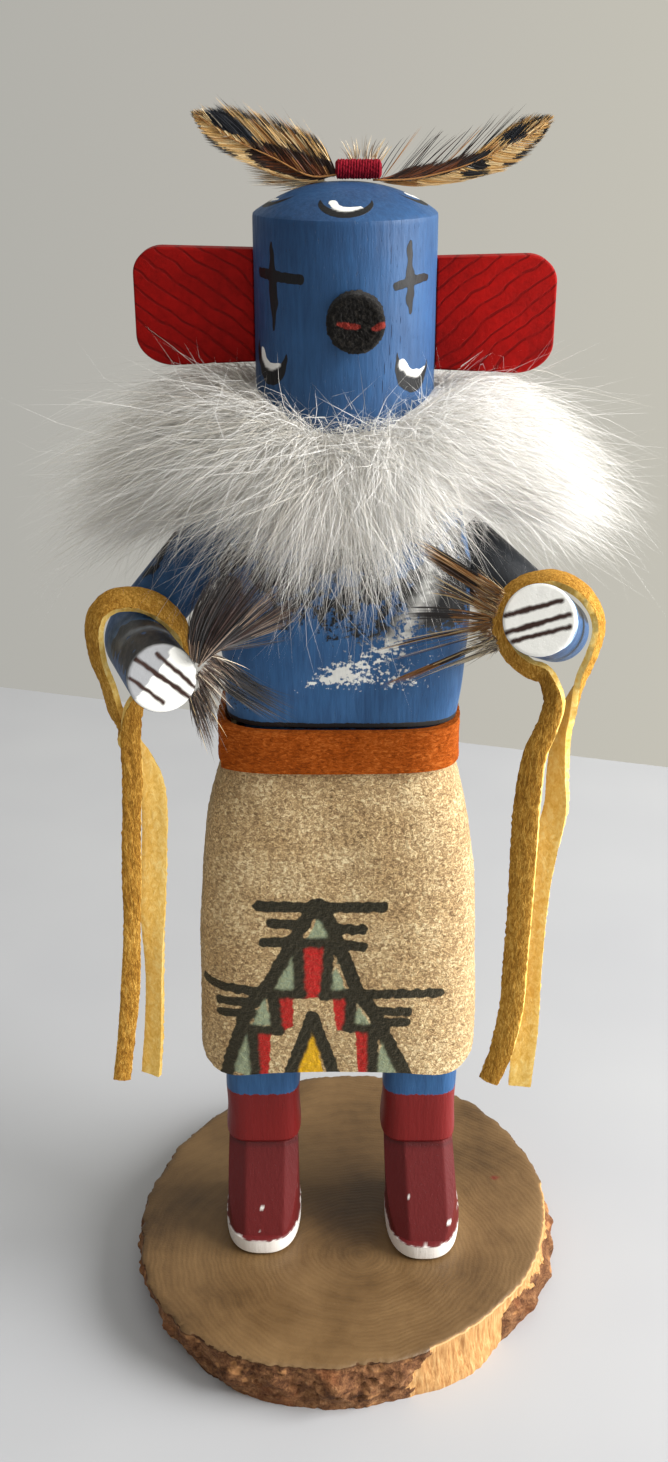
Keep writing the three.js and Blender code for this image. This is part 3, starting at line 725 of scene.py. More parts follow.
def foot(leg):
    """A moccasin whose instep is cut to a flat slope, with an edge on each side of it."""
    angle = even_angles(6.7, 9, 3.0, 112, 0.65)
    rows = [(0, -0.45), (0.4, -0.1), (1.2, 0)]
    rows += [(z, -0.2 * (z > SOLE)) for z in np.linspace(SOLE - 0.9, SOLE + 0.9, 13)]
    rows += [(z, -0.2) for z in np.linspace(SOLE + 1.4, FOLD + 3.5, 32)]
    waist = -2.5  # where the foot is widest
    edge = (LEG_HALF - 1.2) * INSTEP_TILT - 1.1
    rings = []
    for z, grow in rows:
        up = (z - SOLE) / (FOLD - SOLE)
        rise = min(1, max(0, up))
        middle = leg["sole"] + (leg["knee"] - leg["sole"]) * rise
        toe = leg["toe"] + 0.05 * z
        x, y = section(angle, 6.75 - 0.45 * rise + grow, 1.0, 2.6 + rise)
        y = waist + y * np.where(y < 0, waist - toe + grow, LEG_BACK - waist + grow)
        slope = leg["toe"] + 1.2 + (LEG_FRONT + 0.4 - leg["toe"] - 1.2) * up
        if z > SOLE + 0.2:
            for tilt in (INSTEP_TILT, -INSTEP_TILT):
                y = np.maximum(y, slope + np.maximum(0, tilt * (x - leg["flat"]) - edge))
        rings.append(spots(middle + x, y, z))
    return capped(rings)


def body_piece():
    parts = [solid(*trunk())]
    for leg in LEGS:
        parts += [solid(*boot_shaft(leg)), solid(*foot(leg))]
    points, faces = joined(*parts)
    paint = painted_wood("body_paint", BODY_LIGHT, BODY_DARK, (1, 1, 9), fleck=0.9, fleck_size=0.55)
    obj = new_piece("carved_body", points, faces, [paint], ["body"], angle=28)
    x, y, z = points.T
    front = smooth(-y, 5.5, 8.5)
    mottle = ripple(points, 2.2, 31)
    coarse = ripple(points, 7, 32)
    c = Canvas(points)
    # boots: red above the fold, with painted shade on the foot and in the notch at the fold, and a white
    # sole
    boot = smooth(PAINT_LINE + 0.12 * coarse - z, -0.12, 0.12)
    c.lay(boot, BOOT)
    # painted shade: the foot takes a darker, duller copy of the boot's red
    c.lay(boot * (z < FOLD - 0.15) * 0.9, BOOT_FOOT_SHADED)
    # painted shade: a dark line along the notch at the fold
    c.lay(boot * hill((z - FOLD, -0.35, 0.5)) * 0.8, BOOT_CREASE_SHADE)
    level = points * [1, 1, 0]
    trim = SOLE + (0.1 * ripple(level, 1.3, 33) + 0.1 * ripple(level, 4, 34))
    c.lay(smooth(trim - z, -0.1, 0.1), BOOT_SOLE)
    # black above the belt, sponged black under the fur
    c.lay(smooth(z, 101, 101.8) * (1 - smooth(z, 102.9, 103.3)), BLACK_PAINT)
    sponge = (hill((z, 127, 10)) * (0.62 + 0.2 * mottle + 0.3 * coarse)
              + 0.45 * hill((x, -16, 4), (z, 107, 6)) + 0.2 * hill((x, 4, 10), (z, 119, 4))
              + 0.5 * hill((x, 15, 3.5), (z, 123, 5)))
    c.lay(sponge * (y < 2) * (z > 104), BLACK_PAINT)
    # the dry brush leaves white dabs, then specks
    scratch = ripple(points * [0.6, 0.6, 1.5], 1.2, 35)
    dabs = front * (0.5 + 0.12 * mottle + 0.24 * scratch)
    c.stroke(points[:, [0, 2]], DRY_BRUSH, WHITE_PAINT, soft=1.5, only=dabs)
    specks = hill((x, 2, 7), (z, 110, 2.6))
    specks += 0.7 * hill((x, 11, 5), (z, 111, 5))
    c.lay(front * specks * 0.42, WHITE_PAINT)
    c.keep(obj)


# ------------------------------------------------------------------ head
HEAD_X, HEAD_RADIUS, HEAD_BOTTOM, HEAD_RIM, HEAD_CROWN = -0.3, 12.7, 147, 174.7, 178.7
CRACK_BLUE = (20, 40, 74)
# What is painted round the head. Places are mm round from the front, height and width.
CROSSES = [
    [(-11.3, 171.6, 0.35), (-11.2, 167.8, 1.5), (-11.0, 164, 1.75), (-10.9, 160.4, 0.3)],
    [(-14.3, 167.6, 1.35), (-10, 167.4, 1.35), (-6.2, 167.3, 1.3)],
    [(9.3, 171.7, 0.7), (9.4, 168, 1.35), (9.5, 165, 1.4), (9.5, 163, 0.9)],
    [(7.0, 166.4, 1.1), (10, 167.0, 1.2), (13.1, 167.1, 1.0)],
]
CHEEKS = [  # a crescent's oval, the oval bitten out of it and its white stroke
    [(-12.1, 156.8, 3.6, 4.0), (-11.9, 158.7, 3.3, 3.7),
     [(-14.0, 157.2, 1.2), (-13.3, 156.0, 1.2), (-12.0, 155.4, 1.0), (-9.9, 155.9, 0.4)]],
    [(10.5, 156.0, 3.5, 3.9), (10.9, 157.9, 3.4, 3.7),
     [(8.3, 156.3, 1.2), (9.5, 155.1, 1.05), (11.5, 154.6, 0.85), (12.9, 155.1, 0.3)]],
]
# On the bevel: which way each crescent faces, how low it is and where its white lies.
BEVEL = [(0, 0.5, 0), (-1.4, 1.3, -1.3), (math.pi / 2, 1.4, 1.2), (math.pi, 0.5, 0)]
# Cracks that run with the grain: mm round from the front, then from and to which height.
CRACKS = [(6.3, 155, 163.5), (6.1, 168.5, 174.4), (7.9, 157.5, 165), (5.3, 147, 158)]


def crescent(canvas, where, whole, bite, white, only=1.0):
    """A black crescent, an oval with a bite taken from its top, and a white stroke in
    its hollow. An oval is its centre's and its radii's two numbers each."""
    def inside(u, v, wide, high):
        return (1 - np.hypot((where[:, 0] - u) / wide, (where[:, 1] - v) / high)) * min(wide, high)

    black = np.minimum(inside(*whole), -inside(*bite))
    canvas.lay(only * (0.5 + black / 0.36), BLACK_PAINT)
    canvas.stroke(where, along_route(white, 24), WHITE_PAINT, 0.18, only)


def head_piece():
    # columns are closer together in front
    turn = np.linspace(-math.pi, math.pi, 2001)
    density = np.where(np.abs(turn) < 1.75, 2.4, 1.0)
    reach = np.concatenate([[0], np.cumsum((density[1:] + density[:-1]) / 2)])
    turn = np.interp(np.arange(240) / 240, reach / reach[-1], turn)
    rows = [(HEAD_BOTTOM, 12.3), (HEAD_BOTTOM + 0.4, HEAD_RADIUS)]
    rows += [(z, HEAD_RADIUS) for z in np.linspace(HEAD_BOTTOM + 0.7, HEAD_RIM - 0.4, 104)]
    rows += [(HEAD_RIM, HEAD_RADIUS - 0.06)]
    for t in np.linspace(0.03, 0.97, 44):
        rows.append((HEAD_RIM + (HEAD_CROWN - HEAD_RIM) * (1 - (1 - t) ** 2.3), HEAD_RADIUS * (1 - t)))
    rings = []
    for z, radius in rows:
        knife = 0.10 * ripple(spots(turn * 9, z), 7, 8)
        radius = radius + (knife if z > HEAD_RIM else 0.25 * knife)
        rings.append(spots(HEAD_X + radius * np.sin(turn), -radius * np.cos(turn), z))
    points, faces = capped(rings)
    paint = painted_wood("head_paint", BLUE_LIGHT, BLUE_DARK, (1, 1, 7), 0.42)
    obj = new_piece("painted_head", points, faces, [paint], ["head"], angle=24)
    c = Canvas(points)
    x, y, z = points.T
    round_front = np.arctan2(x - HEAD_X, -y)
    side = HEAD_RADIUS * round_front
    wobble = 0.12 * ripple(np.column_stack([side, z]), 1.6, 41)
    where = np.column_stack([side + wobble, z + 0.5 * wobble])
    upright = z < HEAD_RIM + 0.1
    for bar in CROSSES:
        c.stroke(where, bar, BLACK_PAINT, 0.22, upright)
    for cheek in CHEEKS:
        crescent(c, where, *cheek, upright)
    # the four on the bevel are drawn as seen from above
    out = np.hypot(x - HEAD_X, y)
    for facing, up, shift in BEVEL:
        around_top = np.angle(np.exp(1j * (round_front - facing)))
        bevel = np.column_stack([around_top * np.maximum(out, 3), (HEAD_RADIUS - out) * 1.06 - up])
        white = [(-1.7 + shift, 3.1, 1.2), (-1.2 + shift, 2.2, 1.0), (0.1 + shift, 1.7, 0.85),
                 (2.0 + shift * 0.6, 2.1, 0.35)]
        crescent(c, bevel, (0.0, 2.7, 3.7, 2.6), (0.1, 3.9, 3.4, 2.6), white, z > HEAD_RIM - 0.3)
    for place, low, high in CRACKS:
        bend = place + 0.12 * np.sin(z * 1.3)
        ends = smooth(z, low, low + 1) * (1 - smooth(z, high - 1, high))
        c.lay(0.62 * hill((side, bend, 0.14)) * ends, CRACK_BLUE)
    c.keep(obj)


def ear_outline(side, low, high):
    """An ear board seen from the front: its inner end is cut straight and its outer
    corners are round."""
    inner = side * (HEAD_RADIUS - 0.1)
    outer = (high[0] if side > 0 else low[0]) - HEAD_X
    corner, count = 4.2, 14
    outline = [(inner, low[2] + 0.5)]
    for middle, start, reach, rise in (
            (low[2] + corner, -math.pi / 2, corner * 1.25, corner),
            (high[2] - corner * 0.85, 0, corner * 0.95, corner * 0.85)):
        for turn in (start + math.pi / 2 * i / count for i in range(count + 1)):
            outline.append((outer - side * (reach - reach * math.cos(turn)),
                            middle + rise * math.sin(turn)))
    return outline + [(inner, high[2] - 0.3)]


def ear_piece(side, node, name):
    low, high = box_mm(node)
    half = (high[1] - low[1]) / 2000  # of its thickness, in metres
    mesh = bmesh.new()
    outline = ear_outline(side, low, high)
    corners = [mesh.verts.new(((x + HEAD_X) / 1000, -half, z / 1000)) for x, z in outline]
    face = mesh.faces.new(corners)
    extruded = bmesh.ops.extrude_face_region(mesh, geom=[face])["geom"]
    moved = [v for v in extruded if isinstance(v, bmesh.types.BMVert)]
    bmesh.ops.translate(mesh, verts=moved, vec=(0, 2 * half, 0))
    bmesh.ops.recalc_face_normals(mesh, faces=mesh.faces)
    rims = [e for e in mesh.edges if len(e.link_faces) == 2 and e.calc_face_angle() > 1.2
            and abs(e.verts[0].co.y - e.verts[1].co.y) < 1e-6]
    bmesh.ops.bevel(mesh, geom=rims, offset=0.00035, segments=3, profile=0.6, affect="EDGES")
    points = np.array([v.co[:] for v in mesh.verts]) * 1000
    mesh.verts.index_update()
    faces = [tuple(v.index for v in f.verts) for f in mesh.faces]
    mesh.free()
    new_piece(name, points, faces, [ear_finish(side)], [node], lift=False, angle=40)


def ear_finish(side):
    f = Finish("ear_paint_left" if side < 0 else "ear_paint_right", specular=0.1)
    lean = f.math("MULTIPLY_ADD", f.x, -0.75 * side, f.z)
    wave = f.math("MULTIPLY_ADD", f.noise(9, 2, shift=4), 5.0, lean)
    lines = f.math("SINE", f.math("MULTIPLY", wave, 2.6))
    grain = f.noise(0.5, 4, (2, 1, 2), shift=2, rough=0.65)
    tone = f.math("MULTIPLY_ADD", grain, 0.5, f.math("MULTIPLY", f.noise(8, 2), 0.5))
    base = f.ramp(tone, (0.3, (122, 8, 6)), (0.7, (168, 14, 10)))
    dark = f.math("MULTIPLY", f.step(lines, 0.72, 0.99), f.step(grain, 0.3, 0.6, 0.15, 0.75))
    f.bump(f.math("SUBTRACT", grain, dark), 0.1)
    return f.done(f.mix(dark, base, linear(92, 6, 6)), f.step(grain, 0.3, 0.7, 0.62, 0.5))


def snout_piece():
    """A plug of black felt with a red mouth painted across it."""
    low, high = box_mm("snout")
    middle = (low + high) / 2
    radius = (high[0] - low[0]) / 2
    angle = turns(120)
    cos, sin = np.cos(angle), np.sin(angle)
    edge = 0.7  # radius of the rounded rim
    rows = [(high[1] + 0.2, radius)] + [(y, radius) for y in np.linspace(high[1], low[1] + edge, 12)]
    rows += [(low[1] + edge - edge * math.sin(t), radius - edge * (1 - math.cos(t)))
             for t in np.linspace(0.2, 1.4, 6)]
    rows += [(low[1], radius * r) for r in np.linspace(0.8, 0.03, 26)]
    rings = []
    for y, r in rows:
        spot = spots(r * cos, r * sin, y)
        fuzz = 0.07 * ripple(spot, 0.8, 51) + 0.05 * ripple(spot, 0.4, 52)
        rings.append(spots(middle[0] + (r + fuzz) * cos, y + 0.8 * fuzz * (r < radius - 0.1),
                           middle[2] + (r + fuzz) * sin))
    points, faces = capped(rings)
    f = Finish("black_felt", roughness=0.95, specular=0.08, sheen=0.12, sheen_tint=(0.5, 0.5, 0.5))
    fluff = f.noise(0.5, 4, shift=3, rough=0.7)
    base = f.ramp(fluff, (0.35, (8, 7, 7)), (0.52, (22, 20, 19)), (0.72, (52, 48, 43)))
    colour, _ = f.painted(base, 0.9, 0.45, crisp=0.2)
    f.bump(fluff, 0.3)
    obj = new_piece("felt_snout", points, faces, [f.done(colour)], ["snout"],
                    lift=False, angle=60)
    c = Canvas(points)
    where = points[:, [0, 2]] - middle[[0, 2]]
    end = points[:, 1] < low[1] + edge
    for mouth in ([(-2.3, 0.1, 0.5), (-1.2, -0.1, 0.85), (0.3, -0.25, 0.6)],
                  [(2.2, -0.5, 0.4), (2.9, -0.3, 0.9), (3.5, 0.0, 0.8)]):
        c.stroke(where, mouth, (122, 40, 32), 0.3, end)
    c.keep(obj)


# ------------------------------------------------------------------ arms
DOWEL, ARM_SIDES = 4.75, 128
# Stripes on a hand's end are two places (across, up) and a width. Thin white paint lies
# beyond a line: which way from the middle, and how far.
ARMS = {
    "arm_left": {
        "shoulder": (-17.3, 0.5, 132.2), "elbow": (-32.8, -1.5, 113.6), "hand": (-24.95, -29.1, 117.9),
        "thin": ((-0.75, 0.66), 1.1),
        "stripes": [((-3.8, 3.5), (3.5, -2.9), 0.72), ((-4.3, 0.6), (-0.1, -3.3), 0.58),
                    ((-0.5, 3.5), (4.4, -1.7), 0.6)]},
    "arm_right": {
        "shoulder": (16.5, 0.5, 128.3), "elbow": (31.8, -6.0, 116.0), "hand": (24.4, -35.0, 128.5),
        "thin": None,
        "stripes": [((-4.5, 0.2), (2.5, 2.7), 0.65), ((-4.0, -2.0), (3.7, 1.05), 0.7),
                    ((-3.2, -3.0), (3.9, -0.5), 0.65)]},
}
STRIPE, THIN_WHITE = (50, 26, 18), (150, 152, 158)


def arm_piece(node, name, shade):
    """A dowel bent at the elbow, with a painted end for a hand."""
    arm = ARMS[node]
    shoulder, elbow, hand = (np.array(arm[k]) for k in ("shoulder", "elbow", "hand"))
    to_shoulder, to_hand = unit(shoulder - elbow), unit(hand - elbow)
    start, end = elbow + 6 * to_shoulder, elbow + 6 * to_hand
    bend = curve(start, elbow, end, np.linspace(0, 1, 14)[:, None])
    near_end = hand - 0.35 * to_hand
    upper = shoulder + (start - shoulder) * np.linspace(0, 1, 14)[:, None]
    lower = end + (near_end - end) * np.linspace(0, 1, 44)[:, None]
    rings = list(tube(np.vstack([upper[:-1], bend, lower[1:]]), DOWEL, ARM_SIDES))
    across = unit(np.cross([0, 0, 1.0], to_hand))
    up = np.cross(to_hand, across)
    angle = turns(ARM_SIDES)[:, None]
    end_rows = [(DOWEL - 0.12, 0.25)] + [(r, 0.35) for r in np.linspace(DOWEL - 0.35, 0.06, 34)]
    for radius, out in end_rows:
        rings.append(near_end + out * to_hand + radius * (np.cos(angle) * across + np.sin(angle) * up))
    points, faces = capped(rings)
    paint = painted_wood(f"{node}_paint", BLUE_LIGHT, BLUE_DARK, (1.5, 5, 1.5))
    obj = new_piece(name, points, faces, [paint], [node], angle=35)
    local = points - hand
    depth = local @ to_hand
    face = np.column_stack([local @ across, local @ up])
    end_face = smooth(depth, -0.45, -0.1) * (np.hypot(*face.T) < DOWEL + 1)
    mottle = ripple(points, 1.7, 61)
    c = Canvas(points)
    shade(c, points, depth, face, mottle)
    c.lay(end_face, WHITE_PAINT)
    if arm["thin"]:
        way, far = arm["thin"]
        beyond = smooth(face @ np.array(way) + 0.35 * mottle, far, far + 0.25)
        c.lay(end_face * beyond * 0.9, THIN_WHITE)
    wobble = face + 0.07 * np.column_stack([mottle, ripple(points, 1.3, 62)])
    for first, last, wide in arm["stripes"]:
        c.stroke(wobble, [(*first, wide), (*last, wide)], STRIPE, 0.12, end_face)
    c.keep(obj)


def shade_left(c, points, depth, face, mottle):
    """Black brushed along the top of the arm, with a pale patch in it."""
    top = smooth(face[:, 1], -2.5, 3) * smooth(depth, -22, -14)
    upper = (depth < -24) * smooth(points[:, 2], 116, 124)
    c.lay(upper * (0.55 + 0.3 * mottle), (24, 28, 36))
    c.lay(top * (0.95 - 0.25 * hill((depth, -9, 3))) + 0.25 * mottle * top, (34, 38, 44))
    patch = hill((depth, -11.5, 1.6)) * smooth(face[:, 1], 1, 4)
    c.lay(patch * (0.45 + 0.3 * mottle), (120, 130, 140))


def shade_right(c, points, depth, face, mottle):
    """Black on top, with a pale streak and a dark blob beside the hand's end."""
    top = smooth(face[:, 1], -1, 3)
    c.lay(top * (0.85 + 0.15 * mottle) * smooth(-depth, 2.5, 5), (30, 34, 40))
    streak = smooth(face[:, 0], 2.2, 4.4) * smooth(depth, -6, -0.5)
    c.lay(streak * (0.62 + 0.3 * mottle), (176, 208, 236))
    blob = smooth(-face[:, 0], 3.6, 4.6) * smooth(depth, -3, -0.5)
    c.lay(blob * (0.8 + 0.3 * mottle), (40, 44, 46))


# ------------------------------------------------------------------ kilt and belt
KILT_X, KILT_SQUARE, KILT_THICK, KILT_HEM = -1.2, 4.2, 1.0, 39.6
KILT_ROWS = np.array([
    (39.6, 23.2, 12.9), (50, 23.1, 13.0), (63, 22.7, 12.8), (75, 22.0, 12.5), (83, 21.0, 12.0),
    (89, 19.5, 11.3), (94.2, 17.5, 10.7), (97, 17.3, 10.6),
])
KILT_TONES = (124, 97, 66), (190, 160, 120), (246, 226, 188)
BELT_TONES = (116, 52, 12), (158, 74, 18), (190, 104, 42)
BELT_LAP = math.radians(214)
PEN = (30, 33, 30)
GREEN, RED, YELLOW = (150, 166, 142), (186, 24, 32), (238, 180, 24)
# The design, in places (across, height): filled shapes, then pen lines by their width.
KILT_FILLS = [
    (GREEN, (-4.2, 70.3), (-6.2, 66.0), (-2.9, 66.0)),
    (RED, (-6.8, 65.0), (-3.2, 65.0), (-4.0, 55.0), (-6.7, 55.0)),
    (GREEN, (-8.4, 62.9), (-11.7, 56.2), (-8.2, 56.0)),
    (GREEN, (-1.5, 61.4), (-2.5, 56.3), (0.1, 56.2)),
    (RED, (-10.9, 54.9), (-8.5, 54.9), (-8.6, 49.4), (-10.2, 48.2)),
    (RED, (-2.1, 54.9), (0.3, 54.9), (-0.1, 48.6), (-1.5, 48.6)),
    (GREEN, (-13.2, 55.1), (-15.4, 49.4), (-12.3, 49.4)),
    (GREEN, (2.1, 53.3), (1.3, 49.8), (4.1, 49.6)),
    (RED, (-14.6, 47.6), (-12.3, 47.8), (-12.8, 37.5), (-14.6, 37.5)),
    (RED, (1.7, 48.6), (3.8, 48.4), (3.4, 38.0), (2.2, 38.0)),
    (GREEN, (-16.1, 47.6), (-19.2, 40.0), (-15.0, 38.0)),
    (GREEN, (6.0, 46.5), (5.0, 38.0), (8.9, 38.2)),
    (YELLOW, (-5.4, 48.4), (-8.5, 37.8), (-3.2, 38.2)),
]
KILT_LINES = [
    (1.5, (-13.8, 71.9), (5.9, 71.9)),
    (1.75, (-5.2, 72.0), (-13.2, 56.0), (-15.8, 53.0), (-19.3, 41.5), (-19.9, 38.5)),
    (1.9, (-3.6, 72.0), (1.9, 56.4), (4.7, 51.9), (10.6, 38.0)),
    (2.2, (-4.4, 72.2), (-4.4, 70.9)), (1.4, (-11.8, 68.9), (-6.6, 68.6)),
    (1.4, (-13.0, 65.3), (-7.7, 65.7)), (1.4, (-2.0, 68.0), (2.7, 67.8)),
    (1.4, (-1.4, 65.3), (2.8, 64.6)), (1.4, (-7.4, 65.2), (-2.0, 65.4)),
    (1.4, (-7.6, 64.8), (-7.5, 55.7)), (1.4, (-2.7, 64.8), (-3.2, 55.5)),
    (1.3, (-12.9, 55.6), (-7.0, 55.7)), (1.5, (-3.6, 55.4), (1.4, 55.6)),
    (1.3, (-22.6, 56.5), (-20.4, 56.2), (-13.1, 55.9)), (1.25, (-20.4, 53.4), (-14.8, 53.8)),
    (1.25, (-20.4, 51.1), (-15.2, 51.6)), (1.3, (2.6, 55.6), (8.5, 55.7), (15.4, 55.2)),
    (1.3, (4.7, 52.4), (10.2, 52.1)), (1.3, (5.6, 50.2), (9.8, 50.1)),
    (1.4, (-11.8, 54.6), (-11.2, 48.3)), (1.4, (0.9, 54.6), (0.6, 49.2)),
    (1.2, (-15.9, 48.5), (-10.8, 48.2)), (1.2, (0.2, 49.0), (5.0, 48.9)),
    (1.4, (-15.4, 47.8), (-14.9, 38.2)), (1.4, (4.5, 48.4), (4.6, 38.0)),
    (1.7, (-5.4, 51.3), (-9.6, 38.4)), (1.7, (-5.4, 51.3), (-1.8, 39.6)),
]
PEN_SPREAD = 0.45  # how much wider than drawn a line ends up on the suede


def hem_height(angle):
    front = np.maximum(0, -np.sin(angle))
    return KILT_HEM + 1.2 * front * np.cos(4 * (angle - FRONT)) + 0.8 * np.cos(2 * angle)


def wrapped(rows, columns, out, heights, thick, lap, rough):
    """A band wrapped round the hips: an outer grid and a plainer inner one, closed at
    both edges. Its end laps over its start at the angle lap."""
    angle = even_angles(22, 12.5, KILT_SQUARE, columns, 0.66)
    past = (angle - lap) % (2 * math.pi)
    lifted = 0.8 * thick * np.exp(-past / 0.5)

    def ring(level, inset, grain):
        z = heights(angle, level)
        w, d = (np.interp(z, KILT_ROWS[:, 0], KILT_ROWS[:, k]) + out for k in (1, 2))
        step = -inset if inset else lifted
        x, y = section(angle, w + step, d + step, KILT_SQUARE)
        spot = np.column_stack([x, y, z])
        swell = grain * rough * (ripple(spot, 1.1, 71) + 0.7 * ripple(spot, 0.6, 72))
        waves = 0.12 * ripple(spot, 16, 73) * grain
        outward = unit(np.column_stack([np.sign(v) * np.abs(v / half) ** 3
                                        for v, half in ((x, w), (y, d))]))
        x, y = (np.column_stack([x, y]) + outward * (swell + waves)[:, None]).T
        return np.column_stack([KILT_X + x, y, z + 0.6 * swell * (level < 0.01)])

    outer = [ring(level, 0, 1.0) for level in rows]
    inner = [ring(level, thick, 0.0) for level in np.linspace(1, 0, 10)]
    return hoop(outer + inner)


def kilt_piece():
    """The kilt, with closer rows where the design is, which stands on stepped triangles
    under three tiers of bars."""
    top = KILT_ROWS[-1, 0]
    low = (75 - KILT_HEM) / (top - KILT_HEM)
    rows = np.concatenate([np.linspace(0, low, 132, endpoint=False), np.linspace(low, 1, 22)])

    def heights(angle, level):
        hem = hem_height(angle)
        return hem + (top - hem) * level

    points, faces = wrapped(rows, 440, 0.0, heights, KILT_THICK, 1.9, 0.05)
    leather = suede("kilt_suede", *KILT_TONES, 0.45, (1.4, 1, 1), 0.6, drawn=True)
    obj = new_piece("suede_kilt", points, faces, [leather], ["kilt"], angle=60)
    c = Canvas(points)
    front = points[:, 1] < -4
    where = points[:, [0, 2]]
    wobble = 0.10 * ripple(where, 1.9, 81)
    where = where + np.column_stack([wobble, 0.10 * ripple(where, 1.7, 82)])
    for colour, *corners in KILT_FILLS:
        c.shape(where, corners, colour, 0.35, front)
    for wide, *places in KILT_LINES:
        c.stroke(where, [(x, z, wide + PEN_SPREAD) for x, z in places], PEN, 0.3, front)
    c.keep(obj)


def belt_piece():
    low, high = (corner[2] - LIFT for corner in box_mm("belt"))
    thick, gap = 1.1, 0.3

    def heights(angle, level):
        return np.full(len(angle), low + (high - low) * level)

    points, faces = wrapped(np.linspace(0, 1, 18), 320, gap + thick, heights, thick, BELT_LAP, 0.04)
    leather = suede("belt_suede", *BELT_TONES, 0.34, (2.6, 2.6, 1), 0.25)
    new_piece("suede_belt", points, faces, [leather], ["belt"], angle=60)


# ------------------------------------------------------------------ hair and barbs
def strands(roots, mids, tips, widths, random, segments, blunt=0.12):
    """Curved ribbons from root to tip, pulled towards mid. Returns their points, faces
    and, for each face, which strand it is on and how far along."""
    count = len(roots)
    t = np.linspace(0, 1, segments + 1)[None, :, None]
    line = curve(roots[:, None], mids[:, None], tips[:, None], t)
    along = unit(np.gradient(line, axis=1))
    across = unit(np.cross(along, random.normal(size=(count, 1, 3))))
    taper = np.clip(1 - t**2 * (1 - blunt), 0, 1) * (0.55 + 0.45 * smooth(t, 0, 0.2))
    half = widths[:, None, None] / 2 * taper
    left, right = line - across * half, line + across * half
    per = 2 * segments + 1
    points = np.empty((count, per, 3))
    points[:, 0:-1:2], points[:, 1:-1:2] = left[:, :-1], right[:, :-1]
    points[:, -1] = line[:, -1]
    one = [(2 * i, 2 * i + 1, 2 * i + 3, 2 * i + 2) for i in range(segments - 1)]
    one.append((2 * segments - 2, 2 * segments - 1, 2 * segments))
    faces = [tuple(k + s * per for k in face) for s in range(count) for face in one]
    strand = np.repeat(np.arange(count), segments)
    reach = np.tile((np.arange(segments) + 0.5) / segments, count)
    return points.reshape(-1, 3), faces, strand, reach


# Where the hair's tips lie, from the top layer (0) to the lowest (1): how far out on each
# side, how far to the front and back, and how high.
LAYERS = (0, 0.3, 0.65, 1)
REACH_LEFT, HEIGHT_LEFT = (28, 41, 45, 42), (148.5, 139, 129.5, 124)
REACH_RIGHT, HEIGHT_RIGHT = (26, 37, 42, 40), (148.5, 139, 130, 125)
REACH_FRONT, HEIGHT_FRONT = (17.5, 17, 13.5, 12.5), (140, 131, 119, 109.5)
REACH_BACK, HEIGHT_BACK = (17, 21.5, 20, 16), (147, 139, 129, 121)
DIAGONAL_RISE = 10.0  # how much shorter the lowest hair is between the front and a side
RIGHT_RISE = (9.0, 5.28, 0.3)  # more of that at the right: how much, round which angle
CHEST_THINNING = 0.84  # the share of the hair low on the chest that grows higher up
SIDES = (-48.5, 47.0)  # no hair reaches past these
HAIRS_IN_LOCK = 60


def reached(layer, turned, first, second):
    """A table's value for each hair's layer: the first table's where it is turned."""
    return np.where(turned, np.interp(layer, LAYERS, first), np.interp(layer, LAYERS, second))


def hair_tip(angle, layer):
    """Where a hair ends that is combed out from the neck."""
    cos, sin = np.cos(angle), np.sin(angle)
    side = np.where(sin < 0, 1 - sin**4, cos**2)
    much, middle, wide = RIGHT_RISE
    rise = DIAGONAL_RISE * np.sin(2 * angle) ** 2 * (sin < 0) * layer**1.5
    rise += much * hill((angle, middle, wide)) * layer
    out = reached(layer, cos < 0, REACH_LEFT, REACH_RIGHT)
    deep = reached(layer, sin < 0, REACH_FRONT, REACH_BACK)
    high = reached(layer, cos < 0, HEIGHT_LEFT, HEIGHT_RIGHT)
    low = reached(layer, sin < 0, HEIGHT_FRONT, HEIGHT_BACK)
    return np.stack([cos * out, sin * deep, high * side + low * (1 - side) + rise], axis=-1)


def hair_root(angle, layer, out=0.0):
    """Where a hair grows on the strip of hide that is wound round the neck."""
    cos, sin = np.cos(angle), np.sin(angle)
    front = np.maximum(0, -sin)
    swell = np.sin(math.pi * np.clip(layer, 0, 1) * 0.8 + 0.25)
    top = 149.6 + 1.6 * cos**2 - 2.4 * front**4
    return np.stack([cos * (12.6 + 5.0 * swell + out), sin * (11.6 + 2.6 * swell + out),
                     top - 13 * layer], axis=-1)


def ruff_core():
    """The dense wool under the long hair, wound round the neck."""
    columns, rows = 180, 44
    outside = 0.72  # the share of the rows that runs down the outside
    angle = turns(columns)
    cos, sin = np.cos(angle), np.sin(angle)
    rings = []
    for i in range(rows):
        share = i / (rows - 1)
        if share < outside:
            layer = np.full(columns, share / outside)
            root, tip = hair_root(angle, layer), hair_tip(angle, layer)
            spot = root + (tip - root) * (0.36 * math.sin(math.pi * share / outside) ** 0.6)
            lump = 0.55 * ripple(spot, 4.5, 91) + 0.3 * ripple(spot, 1.7, 92)
        else:  # the hide against the neck and shoulders
            back = (share - outside) / (1 - outside)
            spot = hair_root(angle, np.full(columns, 1 - back)) * [0.86, 0.86, 1]
            lump = np.zeros(columns)
        rings.append(spot + spots(cos, sin, 0) * lump[:, None])
    return hoop(rings)


FUR_TONES = {
    "fur_white": (252, 251, 249), "fur_bright": (243, 241, 237), "fur_cream": (228, 223, 213),
    "fur_shade": (214, 208, 198), "fur_root": (186, 180, 171),
}
# Name, hairs, seed, width, share of the full reach, jitter, clumping, strays, segments.
FUR_LAYERS = [
    ("fur_ruff_under", 25000, 101, 0.10, (0.3, 0.75), (2.2, 1.0, 2.2), 0.35, 0.06, 3),
    ("fur_ruff_middle", 29500, 102, 0.078, (0.45, 0.95), (2.5, 1.0, 2.5), 0.42, 0.12, 3),
    ("fur_ruff_guard", 19000, 103, 0.062, (0.6, 1.16), (3.0, 1.3, 3.0), 0.28, 0.26, 4),
]


